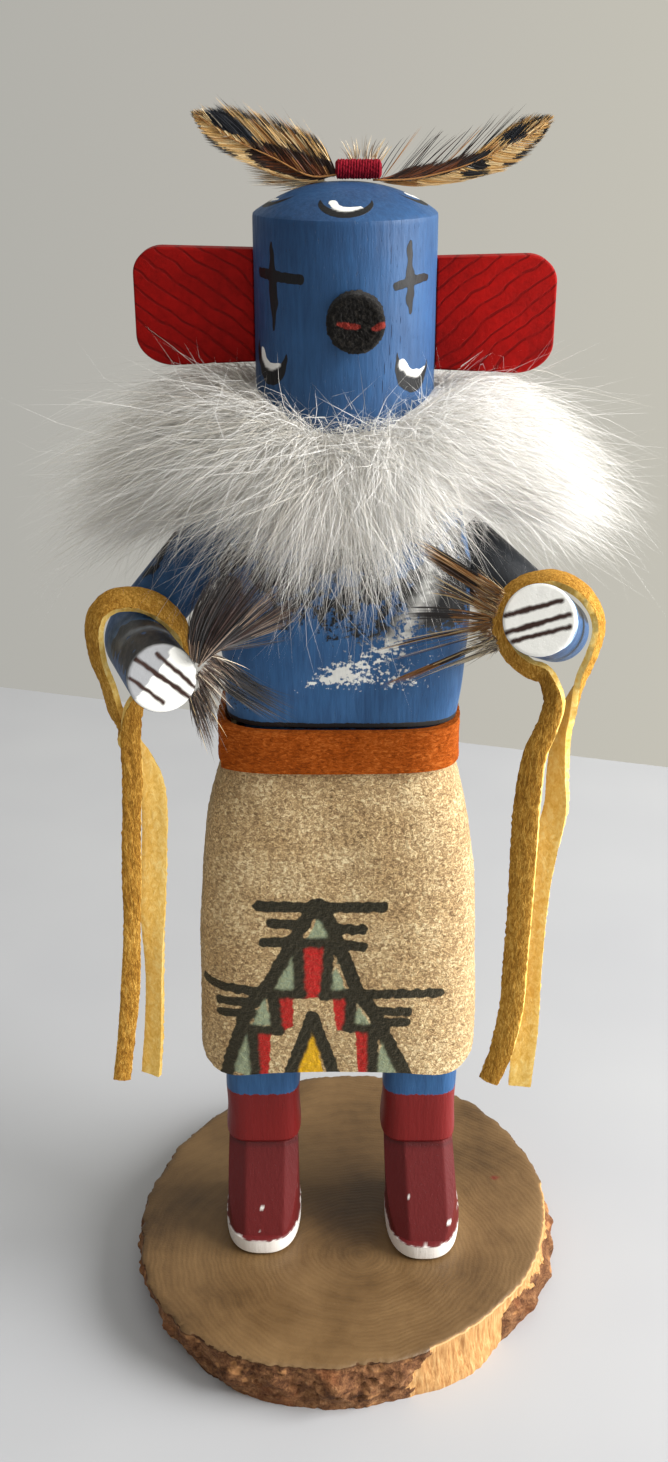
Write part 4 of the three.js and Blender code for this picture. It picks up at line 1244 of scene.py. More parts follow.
def fur_layer(tones, name, count, seed, width, share, jitter, clump, stray, segments):
    random = np.random.default_rng(seed)
    angle = random.uniform(0, 2 * math.pi, count)
    layer = random.beta(1.1, 1.15, count)
    cos, sin = np.cos(angle), np.sin(angle)
    thinned = (sin < -0.55) & (layer > 0.38) & (random.uniform(size=count) < CHEST_THINNING)
    layer = np.where(thinned, layer * random.uniform(0.1, 0.8, count), layer)
    roots = hair_root(angle, layer, random.uniform(-1.0, 1.5, count))
    tips = hair_tip(angle, layer)
    reach = random.uniform(*share, count)[:, None]
    tips = roots + (tips - roots) * reach + random.normal(size=(count, 3)) * jitter
    length = np.linalg.norm(tips - roots, axis=1)
    lift = length * (0.20 - 0.22 * layer) + 1.0
    mids = (roots * 0.52 + tips * 0.48) + np.column_stack([
        cos * length * 0.10, sin * length * 0.14 - 0.6, lift])
    mids += random.normal(size=(count, 3)) * [2.1, 1.4, 2.0]
    # tufts lie across each other, most of all on the chest
    front = np.maximum(0, -sin) ** 3
    swirl = np.column_stack([ripple(tips, 9, seed + k) + 0.6 * ripple(tips, 3.2, seed + 5 + k)
                             for k in range(3)]) * (1.5 + 1.6 * front)[:, None]
    tips += swirl * [1.3, 0.8, 0.9]
    mids += swirl * [0.5, 0.3, 0.4]
    # hairs gather into locks whose tips draw together
    centres = random.integers(0, count, count // HAIRS_IN_LOCK)
    nearest = nearest_of(np.column_stack([cos * 24, sin * 20, layer * 22]), centres)
    pull = (clump * random.uniform(0.0, 1.0, count))[:, None]
    tips = tips * (1 - pull) + tips[nearest] * pull
    mids = mids * (1 - pull * 0.4) + mids[nearest] * pull * 0.4
    loose = (random.uniform(size=count) < stray + 0.25 * front)[:, None]
    tips = tips + loose * random.normal(size=(count, 3)) * [5.5, 2.0, 5.0]
    mids = mids + loose * random.normal(size=(count, 3)) * [2.5, 1.8, 2.5]
    keep_clear(mids, 1.2)
    keep_clear(tips, 0.8)
    tips[:, 0] = np.clip(tips[:, 0], *SIDES)
    widths = width * random.uniform(0.6, 1.3, count)
    points, faces, strand, along = strands(roots, mids, tips, widths, random, segments)
    # painted light: hair on the side towards the window takes paler tones; each hair is one tone darker at
    # the root
    pale = random.uniform(size=count) + 0.25 * (cos > 0.1)
    tone = np.select([pale > 0.62, pale > 0.34, pale > 0.10], [0, 1, 2], 3)
    indices = np.clip(tone[strand] + (along < 0.2), 0, len(tones) - 1)
    new_piece(name, points, faces, tones, indices=indices)


def nearest_of(places, centres):
    """For each place, the index of the nearest of some of them."""
    best = np.full(len(places), 1e9)
    chosen = np.zeros(len(places), int)
    for centre in centres:
        away = np.sum((places - places[centre]) ** 2, axis=1)
        closer = away < best
        best[closer], chosen[closer] = away[closer], centre
    return chosen


def keep_clear(points, gap):
    """Moves points of hair out of the head, and off the chest in front."""
    x, y, z = points.T
    out = np.hypot(x - HEAD_X, y)
    inside = (z > HEAD_BOTTOM - 1) & (out < HEAD_RADIUS + gap)
    scale = np.where(inside, (HEAD_RADIUS + gap) / np.maximum(out, 1e-3), 1)
    points[:, 0] = HEAD_X + (x - HEAD_X) * scale
    points[:, 1] = y * scale
    x, y, z = points.T
    w = np.interp(z, BODY_ROWS[:, 0], BODY_ROWS[:, 1]) + gap
    d = np.interp(z, BODY_ROWS[:, 0], BODY_ROWS[:, 2]) + gap
    aside = np.abs((x - BODY_X) / w) ** BODY_SQUARE
    depth = d * np.clip(1 - aside, 0, 1) ** (1 / BODY_SQUARE)
    buried = (z < HEAD_BOTTOM) & (np.abs(x - BODY_X) < w) & (np.abs(y) < depth)
    points[:, 1] = np.where(buried, np.where(y < 1, -depth, depth), y)


def fur_pieces():
    points, faces = ruff_core()
    f = Finish("fur_wool", roughness=0.9, specular=0.1, sheen=0.4)
    wool = f.noise(1.2, 4, shift=6, rough=0.65)
    f.bump(wool, 0.6)
    colour = f.ramp(wool, (0.32, (196, 191, 182)), (0.52, (236, 232, 225)), (0.68, (250, 248, 244)))
    new_piece("fur_ruff_wool", points, faces, [f.done(colour)], ["fur_ruff"])
    tones = [fibre(key, colour, 0.5, 0.3) for key, colour in FUR_TONES.items()]
    for layer in FUR_LAYERS:
        fur_layer(tones, *layer)


# ------------------------------------------------------------------ feathers
FEATHER_TONES = {
    "gold": (214, 172, 106), "pale": (236, 208, 156), "tan": (168, 116, 60), "rust": (118, 62, 26),
    "umber": (54, 30, 17), "black": (26, 24, 26), "blue_black": (24, 28, 38), "grey": (140, 132, 124),
    "wine": (50, 30, 29), "taupe": (128, 108, 92), "cream": (236, 222, 196), "quill": (196, 158, 108),
    "dusk": (48, 43, 43),
}
FEATHER = {key: fibre("barb_" + key, colour, 0.45, 0.15) for key, colour in FEATHER_TONES.items()}
FEATHER_ORDER = list(FEATHER)


class Feather:
    """Barbs and quills gathered into one piece, each part of a barb in its own tone."""

    def __init__(self, name, node, slot, seed):
        self.name, self.node, self.slot = name, node, slot
        self.random = np.random.default_rng(seed)
        self.points, self.faces, self.tones, self.size = [], [], [], 0

    def add(self, points, faces, tones):
        self.points.append(points)
        self.faces += [tuple(k + self.size for k in face) for face in faces]
        self.tones += list(tones)
        self.size += len(points)

    def quill(self, route, start, end, tone="quill"):
        line = along_route(route, 24)
        points, faces = capped(tube(line, np.linspace(start, end, 24) / 2, 6))
        self.add(points, faces, [FEATHER_ORDER.index(tone)] * len(faces))

    def barbs(self, roots, mids, tips, widths, tone, segments):
        """tone(strand, along, places) names the colour of each part of a barb."""
        points, faces, strand, along = strands(roots, mids, tips, widths, self.random, segments, 0.25)
        names = tone(strand, along, np.array([points[face[0]] for face in faces]))
        self.add(points, faces, [FEATHER_ORDER.index(n) for n in names])

    def make(self):
        new_piece(self.name, np.vstack(self.points), self.faces, list(FEATHER.values()),
                  [self.node], self.tones)


def pick(*choices):
    """The first name whose mask holds, else the last."""
    *pairs, last = choices
    names = np.full(len(pairs[0][0]), last, dtype=object)
    for mask, name in reversed(pairs):
        names[mask] = name
    return names


def within(where, corners):
    """Which places lie inside a polygon."""
    inside = np.zeros(len(where), bool)
    for (u0, v0), (u1, v1) in zip(corners, corners[1:] + corners[:1]):
        crosses = (v0 > where[:, 1]) != (v1 > where[:, 1])
        rise = v1 - v0 if v1 != v0 else 1e-9
        inside ^= crosses & (where[:, 0] < (u1 - u0) * (where[:, 1] - v0) / rise + u0)
    return inside


def fan(f, guides, count, tone, width=(0.1, 0.2), reach=(0.85, 1.03), part=0.25, cling=0.0,
        segments=5):
    """Barbs spread between guide barbs, each a root, a place on the way and a tip. They
    part by `part` mm at their tips, and gather in strips where cling is more than 0.
    tone(places, share, along, chance) names the colours: share counts along the guides,
    along is 0 at the root and 1 at the tip, and chance is each barb's own."""
    random = f.random
    guides = np.array(guides, float)
    share = random.uniform(0, len(guides) - 1, count)
    if cling:
        strips = np.round(share / cling) * cling
        share = np.clip(share + (strips - share) * random.uniform(0.3, 0.95, count), 0, len(guides) - 1)
    low = np.minimum(share.astype(int), len(guides) - 2)
    step = (share - low)[:, None, None]
    roots, via, tips = np.moveaxis(guides[low] * (1 - step) + guides[low + 1] * step, 1, 0)
    mids = 2 * via - (roots + tips) / 2
    ends = random.uniform(*reach, count)[:, None]
    shorter = curve(roots, mids, tips, ends)
    mids = roots + (mids - roots) * ends
    spread = random.normal(size=(count, 3)) * part
    strip_chance = random.uniform(size=4000)
    roots = roots + random.normal(size=(count, 3)) * 0.12
    chance = random.uniform(size=count)
    if cling:
        together = random.uniform(size=count) < 0.8
        chance = np.where(together, strip_chance[np.round(strips / cling).astype(int)], chance)

    def tones(strand, along, places):
        return tone(places, share[strand], along, chance[strand])

    f.barbs(roots, mids + spread * 0.4, shorter + spread, random.uniform(*width, count), tones, segments)


def flat(guides, depth=-0.3):
    """Guides given as (x, height) places, for a feather that faces the viewer."""
    return [[(x, depth - 0.1 * i, z) for i, (x, z) in enumerate(guide)] for guide in guides]


def crest_left():
    f = Feather("crest_feather_banded_left", "crest_feather_left", "brown_feather", 201)
    upper = [[(-1.7, 179.5), (-2.4, 181.6), (-4.2, 184.4)],
             [(-2.6, 179.4), (-4.4, 182.4), (-7.2, 185.8)],
             [(-4.2, 179.4), (-7.0, 183.2), (-10.4, 187.1)],
             [(-6.6, 179.9), (-10.0, 184.0), (-13.6, 187.7)],
             [(-9.4, 181.3), (-12.9, 184.9), (-16.4, 188.3)],
             [(-12.6, 183.0), (-15.2, 185.8), (-17.8, 187.9)],
             [(-15.9, 184.3), (-17.4, 186.0), (-19.2, 187.7)],
             [(-18.4, 186.0), (-19.6, 186.9), (-20.7, 187.6)]]
    lower = [[(-2.4, 179.4), (-4.4, 178.8), (-6.8, 178.8)],
             [(-5.1, 179.3), (-8.2, 179.2), (-11.2, 180.3)],
             [(-6.8, 180.0), (-10.2, 180.2), (-13.8, 181.0)],
             [(-9.8, 181.6), (-13.0, 181.8), (-16.3, 182.0)],
             [(-12.4, 182.9), (-15.4, 182.9), (-18.5, 183.2)],
             [(-15.9, 184.3), (-17.8, 184.2), (-19.5, 184.5)],
             [(-18.4, 186.0), (-19.6, 186.0), (-20.5, 186.4)],
             [(-19.8, 187.0), (-20.4, 187.2), (-20.9, 187.5)]]
    band = [(-13.1, 182.8), (-9.8, 182.9), (-7.6, 182.6), (-5.1, 181.8), (-1.5, 181.0), (-1.5, 179.0),
            (-5.8, 178.9), (-8.5, 179.6), (-11.0, 180.4), (-12.5, 181.6)]
    core = [(-11.6, 182.0), (-8.6, 181.6), (-5.1, 180.8), (-2.4, 180.2), (-2.4, 179.2), (-6.2, 179.2),
            (-9.4, 180.2)]
    patch = [(-19.0, 187.4), (-17.1, 188.0), (-16.2, 187.3), (-13.7, 185.5), (-11.6, 183.6),
             (-12.2, 182.9), (-15.4, 184.2), (-17.6, 185.5)]

    def colour(places, share, along, chance):
        where = places[:, [0, 2]]
        tip = along > 0.78
        in_core = within(where, core)
        return pick((in_core & (chance < 0.55), "rust"), (in_core & (chance < 0.8), "tan"),
                    (within(where, band), "umber"), (within(where, patch) & (chance < 0.94), "blue_black"),
                    (tip & (chance < 0.5), "dusk"), (chance < 0.05, "umber"), (chance < 0.45, "pale"),
                    (chance < 0.56, "tan"), (chance > 0.95, "cream"), "gold")

    def colour_low(places, share, along, chance):
        where = places[:, [0, 2]]
        return pick((within(where, core) & (chance < 0.6), "rust"), (within(where, band), "umber"),
                    ((along > 0.72) & (where[:, 0] < -14.5) & (chance < 0.8), "dusk"),
                    (chance < 0.12, "tan"), (chance < 0.62, "pale"), "gold")

    fan(f, flat(lower, 0.1), 620, colour_low, part=0.12, cling=0.12)
    fan(f, flat(upper, -0.2), 1250, colour, part=0.16, cling=0.085)
    fan(f, flat(upper, -0.3), 90, colour, part=0.5, reach=(1.0, 1.1), width=(0.07, 0.12))
    f.quill([[-1.0, -0.5, 179.6], [-5.1, -0.5, 179.4], [-9.8, -0.5, 181.6], [-15.9, -0.4, 184.3],
             [-20.4, -0.3, 187.4]], 0.3, 0.08, "tan")
    f.make()


def crest_left_under():
    f = Feather("crest_feather_downy", "crest_feather_left_under", "down_feather", 202)
    guides = [[(-4.0, 179.6), (-9.0, 180.0), (-15.2, 180.9)],
              [(-4.0, 179.4), (-8.6, 179.4), (-13.9, 180.0)],
              [(-4.0, 179.2), (-8.4, 178.9), (-13.6, 178.9)],
              [(-3.6, 179.0), (-7.0, 178.4), (-12.4, 178.5)],
              [(-3.2, 178.9), (-5.6, 178.3), (-8.8, 177.8)]]

    def colour(places, share, along, chance):
        return pick(((along > 0.72) & (chance < 0.5), "grey"), (chance < 0.4, "pale"),
                    (chance > 0.86, "tan"), "cream")

    fan(f, flat(guides, 0.9), 260, colour, part=0.35, reach=(0.6, 1.03))
    f.quill([[-1.4, 0.8, 179.6], [-7.0, 0.9, 179.1], [-12.0, 0.9, 179.2]], 0.35, 0.1)
    f.make()


def crest_right():
    f = Feather("crest_feather_banded_right", "crest_feather_right", "brown_feather", 203)
    loose = [[(3.9, 179.2), (5.8, 182.0), (8.2, 184.4)], [(5.2, 179.0), (8.3, 182.6), (11.0, 186.3)],
             [(7.0, 179.0), (10.4, 182.8), (12.7, 184.9)], [(9.6, 179.3), (13.2, 182.8), (15.6, 184.9)],
             [(12.0, 179.6), (15.6, 183.2), (18.4, 186.1)],
             [(14.8, 180.2), (18.8, 184.2), (22.6, 188.2)],
             [(18.2, 181.6), (21.6, 184.9), (24.6, 187.2)],
             [(22.3, 183.4), (24.8, 185.3), (27.2, 186.8)]]
    upper = [[(4.2, 178.9), (6.5, 179.6), (9.0, 180.8)], [(8.0, 178.9), (11.0, 180.0), (14.0, 181.6)],
             [(12.0, 179.5), (15.6, 181.0), (18.8, 183.2)],
             [(15.4, 180.5), (18.8, 183.0), (21.6, 185.6)],
             [(18.8, 181.9), (21.6, 184.5), (24.2, 187.2)],
             [(22.4, 183.6), (24.6, 185.4), (26.4, 187.1)],
             [(25.6, 185.6), (26.6, 186.2), (27.5, 186.8)]]
    lower = [[(4.5, 178.9), (7.0, 178.3), (10.5, 178.1)], [(8.0, 178.9), (11.5, 178.4), (15.0, 178.7)],
             [(12.0, 179.5), (15.2, 179.0), (18.3, 179.5)],
             [(16.0, 180.7), (19.0, 180.1), (21.8, 180.3)],
             [(19.5, 182.2), (22.2, 181.8), (24.4, 182.0)],
             [(23.5, 184.2), (25.2, 184.0), (26.3, 184.4)],
             [(26.0, 185.8), (26.8, 186.0), (27.5, 186.4)]]
    band = [(3.5, 180.4), (5.9, 180.5), (7.9, 180.8), (12.0, 181.2), (15.1, 181.8), (18.6, 182.2),
            (18.0, 181.2), (14.2, 179.8), (9.0, 178.7), (3.5, 178.4)]
    core = [(4.0, 179.9), (8.0, 180.2), (12.0, 180.6), (14.6, 181.0), (13.4, 179.9), (9.0, 179.1),
            (4.0, 178.9)]
    bar = [(18.6, 182.4), (18.1, 179.3), (14.8, 178.8), (15.4, 180.9)]
    blotch = [(19.8, 183.0), (20.2, 184.3), (23.4, 185.7), (23.4, 183.9), (21.4, 183.2)]

    def colour(places, share, along, chance):
        where = places[:, [0, 2]]
        tip = along > 0.75
        return pick((within(where, core) & (chance < 0.7), "rust"),
                    (within(where, bar) & (chance < 0.92), "black"), (within(where, band), "umber"),
                    (within(where, blotch) & (chance < 0.9), "blue_black"),
                    (tip & (chance < 0.55), "black"), (chance < 0.12, "umber"), (chance < 0.5, "pale"),
                    (chance < 0.58, "tan"), "gold")

    def colour_low(places, share, along, chance):
        where = places[:, [0, 2]]
        return pick((within(where, bar) & (chance < 0.92), "black"),
                    ((where[:, 0] < 9) & (chance < 0.6), "tan"),
                    ((where[:, 0] > 20.8) & (along > 0.6) & (chance < 0.8), "dusk"),
                    (chance < 0.08, "tan"), (chance < 0.6, "pale"), "gold")

    def dark(places, share, along, chance):
        return pick((chance < 0.75, "black"), (chance > 0.9, "tan"), "umber")

    fan(f, flat(lower, 0.1), 560, colour_low, part=0.12, cling=0.1)
    fan(f, flat(upper, -0.2), 1000, colour, part=0.16, cling=0.09)
    fan(f, flat(loose, -0.2), 60, dark, part=0.3, cling=0.33, width=(0.1, 0.16), segments=7)
    f.quill([[3.4, -0.5, 178.9], [6.5, -0.5, 178.9], [10.4, -0.5, 179.3], [17.6, -0.4, 181.4],
             [26.8, -0.3, 186.3]], 0.3, 0.08, "tan")
    f.make()


# Guide barbs of the feathers tied to the hands: root, a place on the way, tip.
LEFT_VANE = [
    [(-21.0, -28.6, 120.9), (-20.5, -28.3, 126.7), (-17.8, -25.6, 131.0)],
    [(-20.6, -28.2, 120.1), (-19.0, -26.8, 126.5), (-15.2, -23.0, 132.1)],
    [(-20.1, -27.7, 119.7), (-17.4, -25.1, 125.5), (-12.9, -20.6, 131.7)],
    [(-19.8, -27.3, 119.6), (-15.8, -23.4, 124.1), (-10.7, -18.4, 129.1)],
    [(-19.6, -27.1, 119.7), (-15.1, -22.7, 122.7), (-8.8, -16.5, 127.0)],
    [(-19.2, -26.8, 120.0), (-13.9, -21.4, 122.0), (-6.9, -14.7, 124.9)],
    [(-18.7, -26.2, 120.4), (-13.1, -20.6, 121.3), (-5.9, -13.8, 122.4)],
    [(-18.3, -25.8, 120.8), (-13.5, -21.0, 120.6), (-7.3, -15.1, 121.4)],
]
LEFT_WISPS = [
    [(-18.5, -26.0, 120.8), (-13.6, -21.0, 119.4), (-5.9, -13.8, 118.1)],
    [(-18.3, -25.8, 120.9), (-13.5, -21.0, 119.8), (-7.5, -15.2, 119.1)],
]
LEFT_FAN = [
    [(-18.3, -25.8, 120.2), (-15.3, -22.7, 116.8), (-12.2, -19.5, 111.8)],
    [(-18.3, -25.8, 119.8), (-14.4, -21.7, 114.5), (-7.0, -14.7, 107.7)],
    [(-18.7, -26.2, 119.1), (-14.5, -21.7, 113.4), (-7.3, -14.9, 105.7)],
    [(-19.1, -26.6, 118.2), (-15.2, -22.5, 112.8), (-8.5, -16.0, 105.5)],
    [(-19.7, -27.1, 117.4), (-16.4, -23.6, 113.3), (-12.3, -19.5, 107.8)],
]
LEFT_FLUFF = [
    [(-18.3, -25.8, 120.2), (-16.2, -23.6, 118.0), (-14.4, -21.8, 115.0)],
    [(-20.0, -27.5, 118.4), (-18.5, -25.8, 115.6), (-17.3, -24.5, 112.4)],
    [(-20.4, -27.9, 117.7), (-19.4, -26.8, 114.7), (-18.1, -25.3, 110.4)],
]
LEFT_TAIL = [
    [(-19.8, -28.0, 116.5), (-18.6, -25.5, 112.9), (-18.2, -22.0, 108.0)],
    [(-20.5, -28.0, 115.9), (-19.3, -25.5, 111.3), (-18.5, -22.0, 105.8)],
    [(-21.1, -28.0, 115.2), (-20.1, -25.5, 110.3), (-19.2, -22.0, 103.3)],
    [(-21.7, -28.0, 114.6), (-21.1, -25.5, 109.8), (-20.0, -22.0, 104.9)],
]
# In the right hand's fan: guides, how many barbs, and which tones.
RIGHT_GROUPS = [
    ([[(19.8, -34.3, 132.3), (15.4, -28.7, 133.8), (10.0, -22.0, 135.5)],
      [(19.6, -34.0, 131.3), (15.1, -28.2, 132.9), (9.2, -21.0, 134.6)],
      [(19.4, -33.7, 130.5), (15.1, -28.2, 132.0), (9.7, -21.7, 133.4)],
      [(19.2, -33.3, 129.8), (15.2, -28.2, 131.1), (10.5, -22.5, 132.7)]], 64, "strand"),
    ([[(19.1, -33.2, 129.2), (15.3, -28.3, 130.2), (11.3, -23.5, 131.0)],
      [(19.0, -33.0, 128.6), (14.8, -27.7, 129.3), (11.2, -23.3, 130.2)],
      [(18.8, -32.7, 128.2), (15.1, -28.0, 128.7), (10.7, -22.7, 127.7)]], 21, "strand"),
    ([[(18.7, -32.5, 128.0), (13.8, -26.3, 127.0), (7.9, -19.3, 124.8)],
      [(18.6, -32.3, 127.5), (13.6, -26.0, 125.9), (7.8, -19.2, 123.1)],
      [(18.6, -32.3, 127.2), (13.5, -25.8, 125.1), (8.3, -19.7, 122.3)]], 22, "dark_end"),
    ([[(18.6, -32.3, 126.9), (12.8, -25.0, 123.1), (4.3, -15.2, 117.2)],
      [(18.6, -32.3, 126.6), (12.9, -25.0, 122.7), (4.4, -15.3, 116.6)],
      [(18.6, -32.3, 125.6), (13.3, -25.5, 121.2), (5.4, -16.3, 114.7)]], 22, "strand"),
    ([[(19.0, -32.8, 125.4), (14.2, -26.5, 120.3), (4.8, -15.7, 111.3)],
      [(19.2, -33.0, 125.0), (14.3, -26.7, 119.9), (6.1, -17.0, 111.6)]], 25, "blade"),
    ([[(19.3, -33.2, 124.4), (15.2, -27.7, 120.0), (8.2, -19.3, 113.1)],
      [(19.5, -33.3, 123.8), (17.2, -30.3, 121.6), (15.2, -27.7, 119.6)]], 19, "pale_end"),
]


def hand_left():
    f = Feather("hand_feather_dark", "hand_feather_left", "dark_feather", 204)

    def vane_tone(places, share, along, chance):
        # painted highlight: some barbs towards the ends of the lower guides take the paler taupe
        painted_highlight = (share > 3.5) & (along > 0.55) & (chance > 0.72)
        return pick((painted_highlight, "taupe"), ((along < 0.2) & (chance < 0.5), "taupe"),
                    ((share < 1.6) & (chance < 0.55), "dusk"), (chance < 0.22, "wine"),
                    (chance < 0.45, "umber"), "black")

    def loose(places, share, along, chance):
        return pick((chance < 0.6, "dusk"), (chance > 0.9, "taupe"), "umber")

    fan(f, LEFT_VANE, 640, vane_tone, part=0.35, cling=0.12, width=(0.1, 0.22), reach=(0.7, 1.05))
    fan(f, LEFT_VANE[:4], 90, loose, part=0.9, width=(0.06, 0.12), reach=(0.8, 1.12))
    fan(f, LEFT_WISPS, 12, loose, part=0.4, width=(0.07, 0.12))
    f.quill([(-20.2, -27.9, 119.2), (-16.4, -24.2, 122.4), (-13.4, -21.2, 124.4), (-9.6, -17.5, 126.2)],
            0.3, 0.1, "taupe")
    f.make()


def hand_down():
    f = Feather("hand_down_grey", "hand_down_left", "down_feather", 205)

    def black(places, share, along, chance):
        return pick(((along < 0.25) & (chance < 0.6), "taupe"), (chance < 0.66, "black"),
                    (chance < 0.9, "dusk"), "grey")

    def fluff(places, share, along, chance):
        return pick((chance < 0.45, "taupe"), (chance < 0.7, "grey"), (chance > 0.92, "cream"), "wine")

    def brown(places, share, along, chance):
        return pick((chance < 0.3, "taupe"), (chance < 0.65, "umber"), (chance > 0.94, "pale"), "dusk")

    fan(f, LEFT_FAN, 150, black, part=0.4, cling=0.16, width=(0.08, 0.18), reach=(0.75, 1.05))
    fan(f, LEFT_FLUFF, 240, fluff, part=0.7, width=(0.07, 0.15), reach=(0.5, 1.05))
    fan(f, LEFT_TAIL, 190, brown, part=0.7, width=(0.06, 0.13), reach=(0.5, 1.05))
    f.make()


def hand_right():
    f = Feather("hand_feather_fan", "hand_feather_right", "brown_feather", 206)

    def strand(places, share, along, chance):
        return pick(((along < 0.3) & (chance < 0.6), "tan"), (chance < 0.42, "umber"),
                    (chance < 0.6, "dusk"), (chance < 0.85, "tan"), "pale")

    def dark_end(places, share, along, chance):
        return pick((along > 0.5, "dusk"), (chance < 0.6, "tan"), "umber")

    def blade(places, share, along, chance):
        return pick((along > 0.7, "tan"), (chance < 0.5, "umber"), "pale")

    def pale_end(places, share, along, chance):
        return pick((chance < 0.6, "cream"), "grey")

    def fuzz(places, share, along, chance):
        low = places[:, 2] < 125.2
        return pick((low & (chance < 0.5), "grey"), (low & (chance < 0.75), "cream"),
                    (chance < 0.45, "tan"), (chance < 0.7, "taupe"), (chance > 0.9, "umber"), "pale")

    tones = {"strand": strand, "dark_end": dark_end, "blade": blade, "pale_end": pale_end}
    for guides, count, kind in RIGHT_GROUPS:
        fan(f, guides, count, tones[kind], part=0.17, cling=0.14, width=(0.14, 0.24),
            reach=(0.85, 1.06), segments=6)
    # fuzz near the roots, along the first part of each guide
    close = [[root, root * 0.72 + via * 0.28, root * 0.3 + via * 0.7]
             for guides, _, _ in RIGHT_GROUPS for root, via, _ in np.array(guides)]
    fan(f, close, 620, fuzz, part=0.45, width=(0.07, 0.15), reach=(0.45, 1.15))
    f.make()


def crest_tuft():
    f = Feather("crest_tuft_barbs", "crest_tuft", "down_feather", 207)
    guides = [[(0.2, 181.0), (-0.4, 182.4), (-1.4, 183.6)], [(1.0, 181.2), (0.9, 182.5), (0.5, 183.9)],
              [(2.3, 181.2), (2.4, 182.6), (2.8, 184.1)], [(3.4, 181.2), (3.8, 182.4), (4.6, 183.6)],
              [(4.4, 180.8), (5.4, 182.2), (6.4, 183.6)]]

    def colour(places, share, along, chance):
        return pick((chance < 0.25, "grey"), (chance < 0.88, "cream"), "pale")

    fan(f, flat(guides, 1.6), 60, colour, part=0.3, width=(0.1, 0.2), reach=(0.6, 1.15))
    f.make()


def crest_knot():
    """Red yarn wound round the feathers' roots."""
    low, high = box_mm("crest_knot")
    middle, radius = (low + high) / 2, (high[2] - low[2]) / 2
    rows, wraps = 150, 17
    angle = turns(40)
    rings = []
    for i in range(rows):
        t = i / (rows - 1)
        x = low[0] + (high[0] - low[0]) * t
        ends = min(1, (min(t, 1 - t) / 0.07 + 0.25) ** 0.5)
        ridge = np.abs(np.sin(math.pi * wraps * t + angle * 0.5)) ** 0.7 * 0.12
        r = (radius - 0.12) * ends + ridge + 0.05 * ripple(spots(x, angle * 2), 0.8, 95)
        rings.append(spots(x, middle[1] + 1.05 * r * np.cos(angle), middle[2] + r * np.sin(angle)))
    points, faces = capped(rings)
    f = Finish("red_yarn", roughness=0.9, specular=0.1, sheen=0.5, sheen_tint=linear(200, 60, 70))
    threads = f.noise(0.28, 3, (0.6, 2, 2), shift=3)
    f.bump(threads, 0.15)
    colour = f.ramp(threads, (0.3, (70, 6, 18)), (0.55, (122, 14, 32)), (0.75, (156, 34, 50)))
    new_piece("yarn_binding", points, faces, [f.done(colour)], ["crest_knot"],
              lift=False, angle=70)


# ------------------------------------------------------------------ laces
LACE_NAP = (128, 84, 30), (184, 132, 52), (224, 176, 88)
LACE_SKIN = (226, 178, 82), (242, 202, 112), (250, 222, 146)


def lace_piece(route, nap_rows, node, name, seed):
    """A flat lace along a route: napped on one face, smooth on the other."""
    count = 340
    line = along_route(route, count)
    along = unit(np.gradient(line, axis=0))
    t = np.linspace(0, 1, count)
    # each nap row's place on the route, as a share of its length
    keys = [t[np.argmin(((line - route[row[0]]) ** 2).sum(1))] for row in nap_rows]
    nap = np.column_stack([np.interp(t, keys, [row[1][k] for row in nap_rows]) for k in range(3)])
    wide = np.interp(t, keys, [row[2] for row in nap_rows])
    wide = wide * (1 + 0.05 * ripple(t[:, None] * 60, 9, seed))
    for _ in range(3):
        nap = unit(nap - (nap * along).sum(1, keepdims=True) * along)
        nap = np.vstack([nap[:1], (nap[:-2] + nap[1:-1] * 2 + nap[2:]) / 4, nap[-1:]])
    across = unit(np.cross(along, nap))
    # the section: out across the napped face and back across the skin, edges thinner
    half = np.linspace(-1, 1, 17)
    thick = LACE_THICKNESS / 2 * (1 - 0.25 * half**4)
    share, height = np.append(half, half[::-1]), np.append(thick, -thick)
    columns = len(share)
    height = height - 0.18 * (share**2 - 0.4)
    rings = (line[:, None] + across[:, None] * (share * wide[:, None] / 2)[..., None]
             + nap[:, None] * height[:, None])
    flat = rings.reshape(-1, 3)
    napped = np.tile(np.arange(columns) < len(half), count)
    fuzz = 0.06 * ripple(flat, 0.9, seed + 1) + 0.05 * ripple(flat, 0.45, seed + 2)
    fuzz = fuzz * np.where(napped, 1, 0.35)
    flat = flat + unit(flat - np.repeat(line, columns, axis=0)) * fuzz[:, None]
    points, faces = capped(flat.reshape(rings.shape))
    napped = np.append(napped, [False, False])
    index = [0 if napped[face[0]] and napped[face[2]] else 1 for face in faces]
    obj = new_piece(name, points, faces,
                    [suede(name + "_nap", *LACE_NAP, 0.32, (1, 1, 3.5)),
                     suede(name + "_skin", *LACE_SKIN, 0.9, (1, 1, 1.5), 0.12)],
                    [node], index, angle=60)


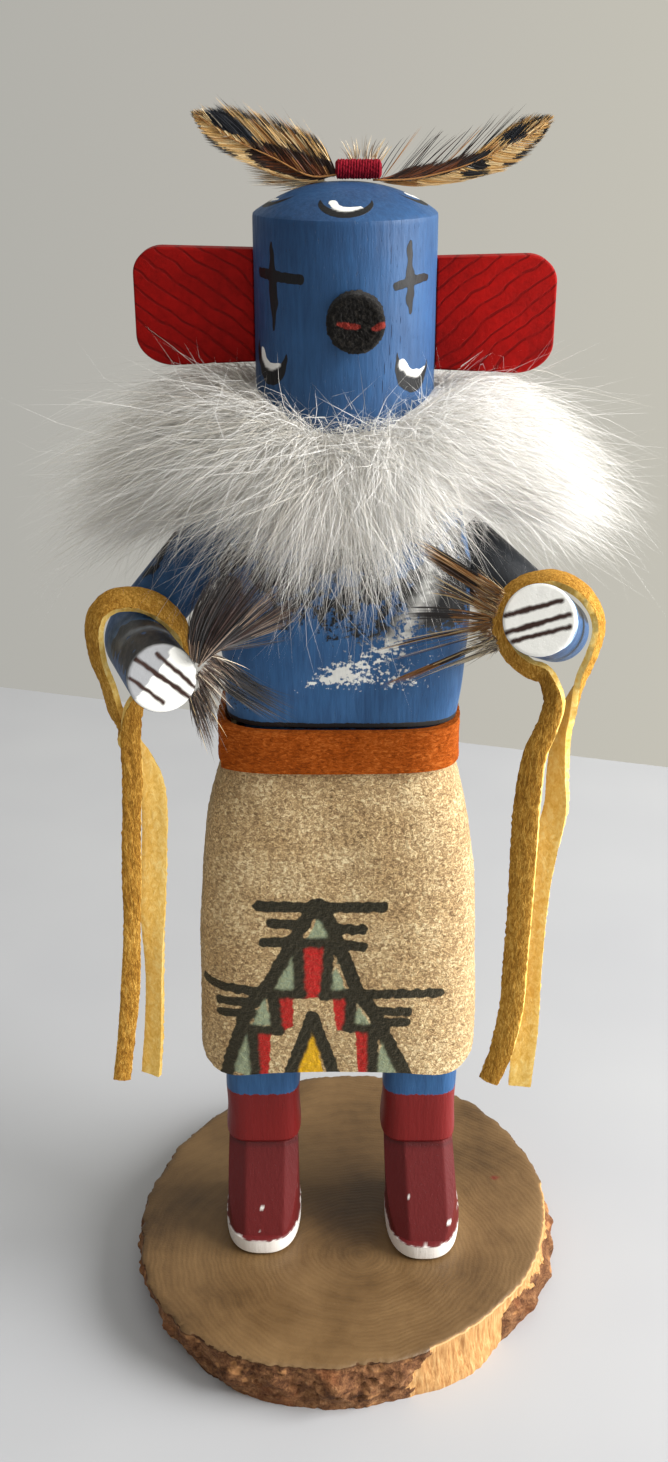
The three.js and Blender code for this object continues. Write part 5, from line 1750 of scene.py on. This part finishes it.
lace_piece(LACE_LEFT, NAP_LEFT, "lace_left", "wrist_lace_left", 301)
lace_piece(LACE_RIGHT, NAP_RIGHT, "lace_right", "wrist_lace_right", 311)
base_piece()
body_piece()
head_piece()
ear_piece(-1, "ear_left", "ear_board_left")
ear_piece(1, "ear_right", "ear_board_right")
snout_piece()
arm_piece("arm_left", "forearm_left", shade_left)
arm_piece("arm_right", "forearm_right", shade_right)
kilt_piece()
belt_piece()
fur_pieces()
crest_left()
crest_left_under()
crest_right()
hand_left()
hand_down()
hand_right()
crest_tuft()
crest_knot()


# ------------------------------------------------------------------ stage
TABLE_CORNERS = [(-1.2, 0.581, 0), (-1.2, -1.2, 0), (1.2, -1.2, 0), (1.2, -0.114, 0)]
TABLE_TONES = (0.3, (180, 182, 187)), (0.7, (186, 188, 192))
ROOM_TONES = [  # from the left to the window at the right
    (0.1, (128, 127, 124)), (0.37, (176, 175, 169)), (0.5, (186, 183, 175)),
    (0.63, (198, 195, 183)), (1.0, (236, 232, 222)),
]


def floor():
    """A pale table that ends a little way behind the doll."""
    mesh = bpy.data.meshes.new("table_top")
    mesh.from_pydata(TABLE_CORNERS, [], [(0, 1, 2, 3)])
    obj = linked("table_top", mesh)
    f = Finish("white_laminate", specular=0.3)
    mesh.materials.append(f.done(f.ramp(f.noise(60, 2), *TABLE_TONES), 0.5))


def room():
    """Walls all round, paler towards the window."""
    world = bpy.data.worlds.new("room")
    bpy.context.scene.world = world
    world.use_nodes = True
    nodes, links = world.node_tree.nodes, world.node_tree.links
    across = nodes.new("ShaderNodeSeparateXYZ")
    links.new(nodes.new("ShaderNodeTexCoord").outputs["Generated"], across.inputs[0])
    share = nodes.new("ShaderNodeMapRange")
    share.inputs["From Min"].default_value = -1
    links.new(across.outputs["X"], share.inputs["Value"])
    walls = nodes.new("ShaderNodeValToRGB")
    fill_ramp(walls.color_ramp, ROOM_TONES)
    links.new(share.outputs[0], walls.inputs[0])
    links.new(walls.outputs[0], nodes["Background"].inputs["Color"])


floor()
room()
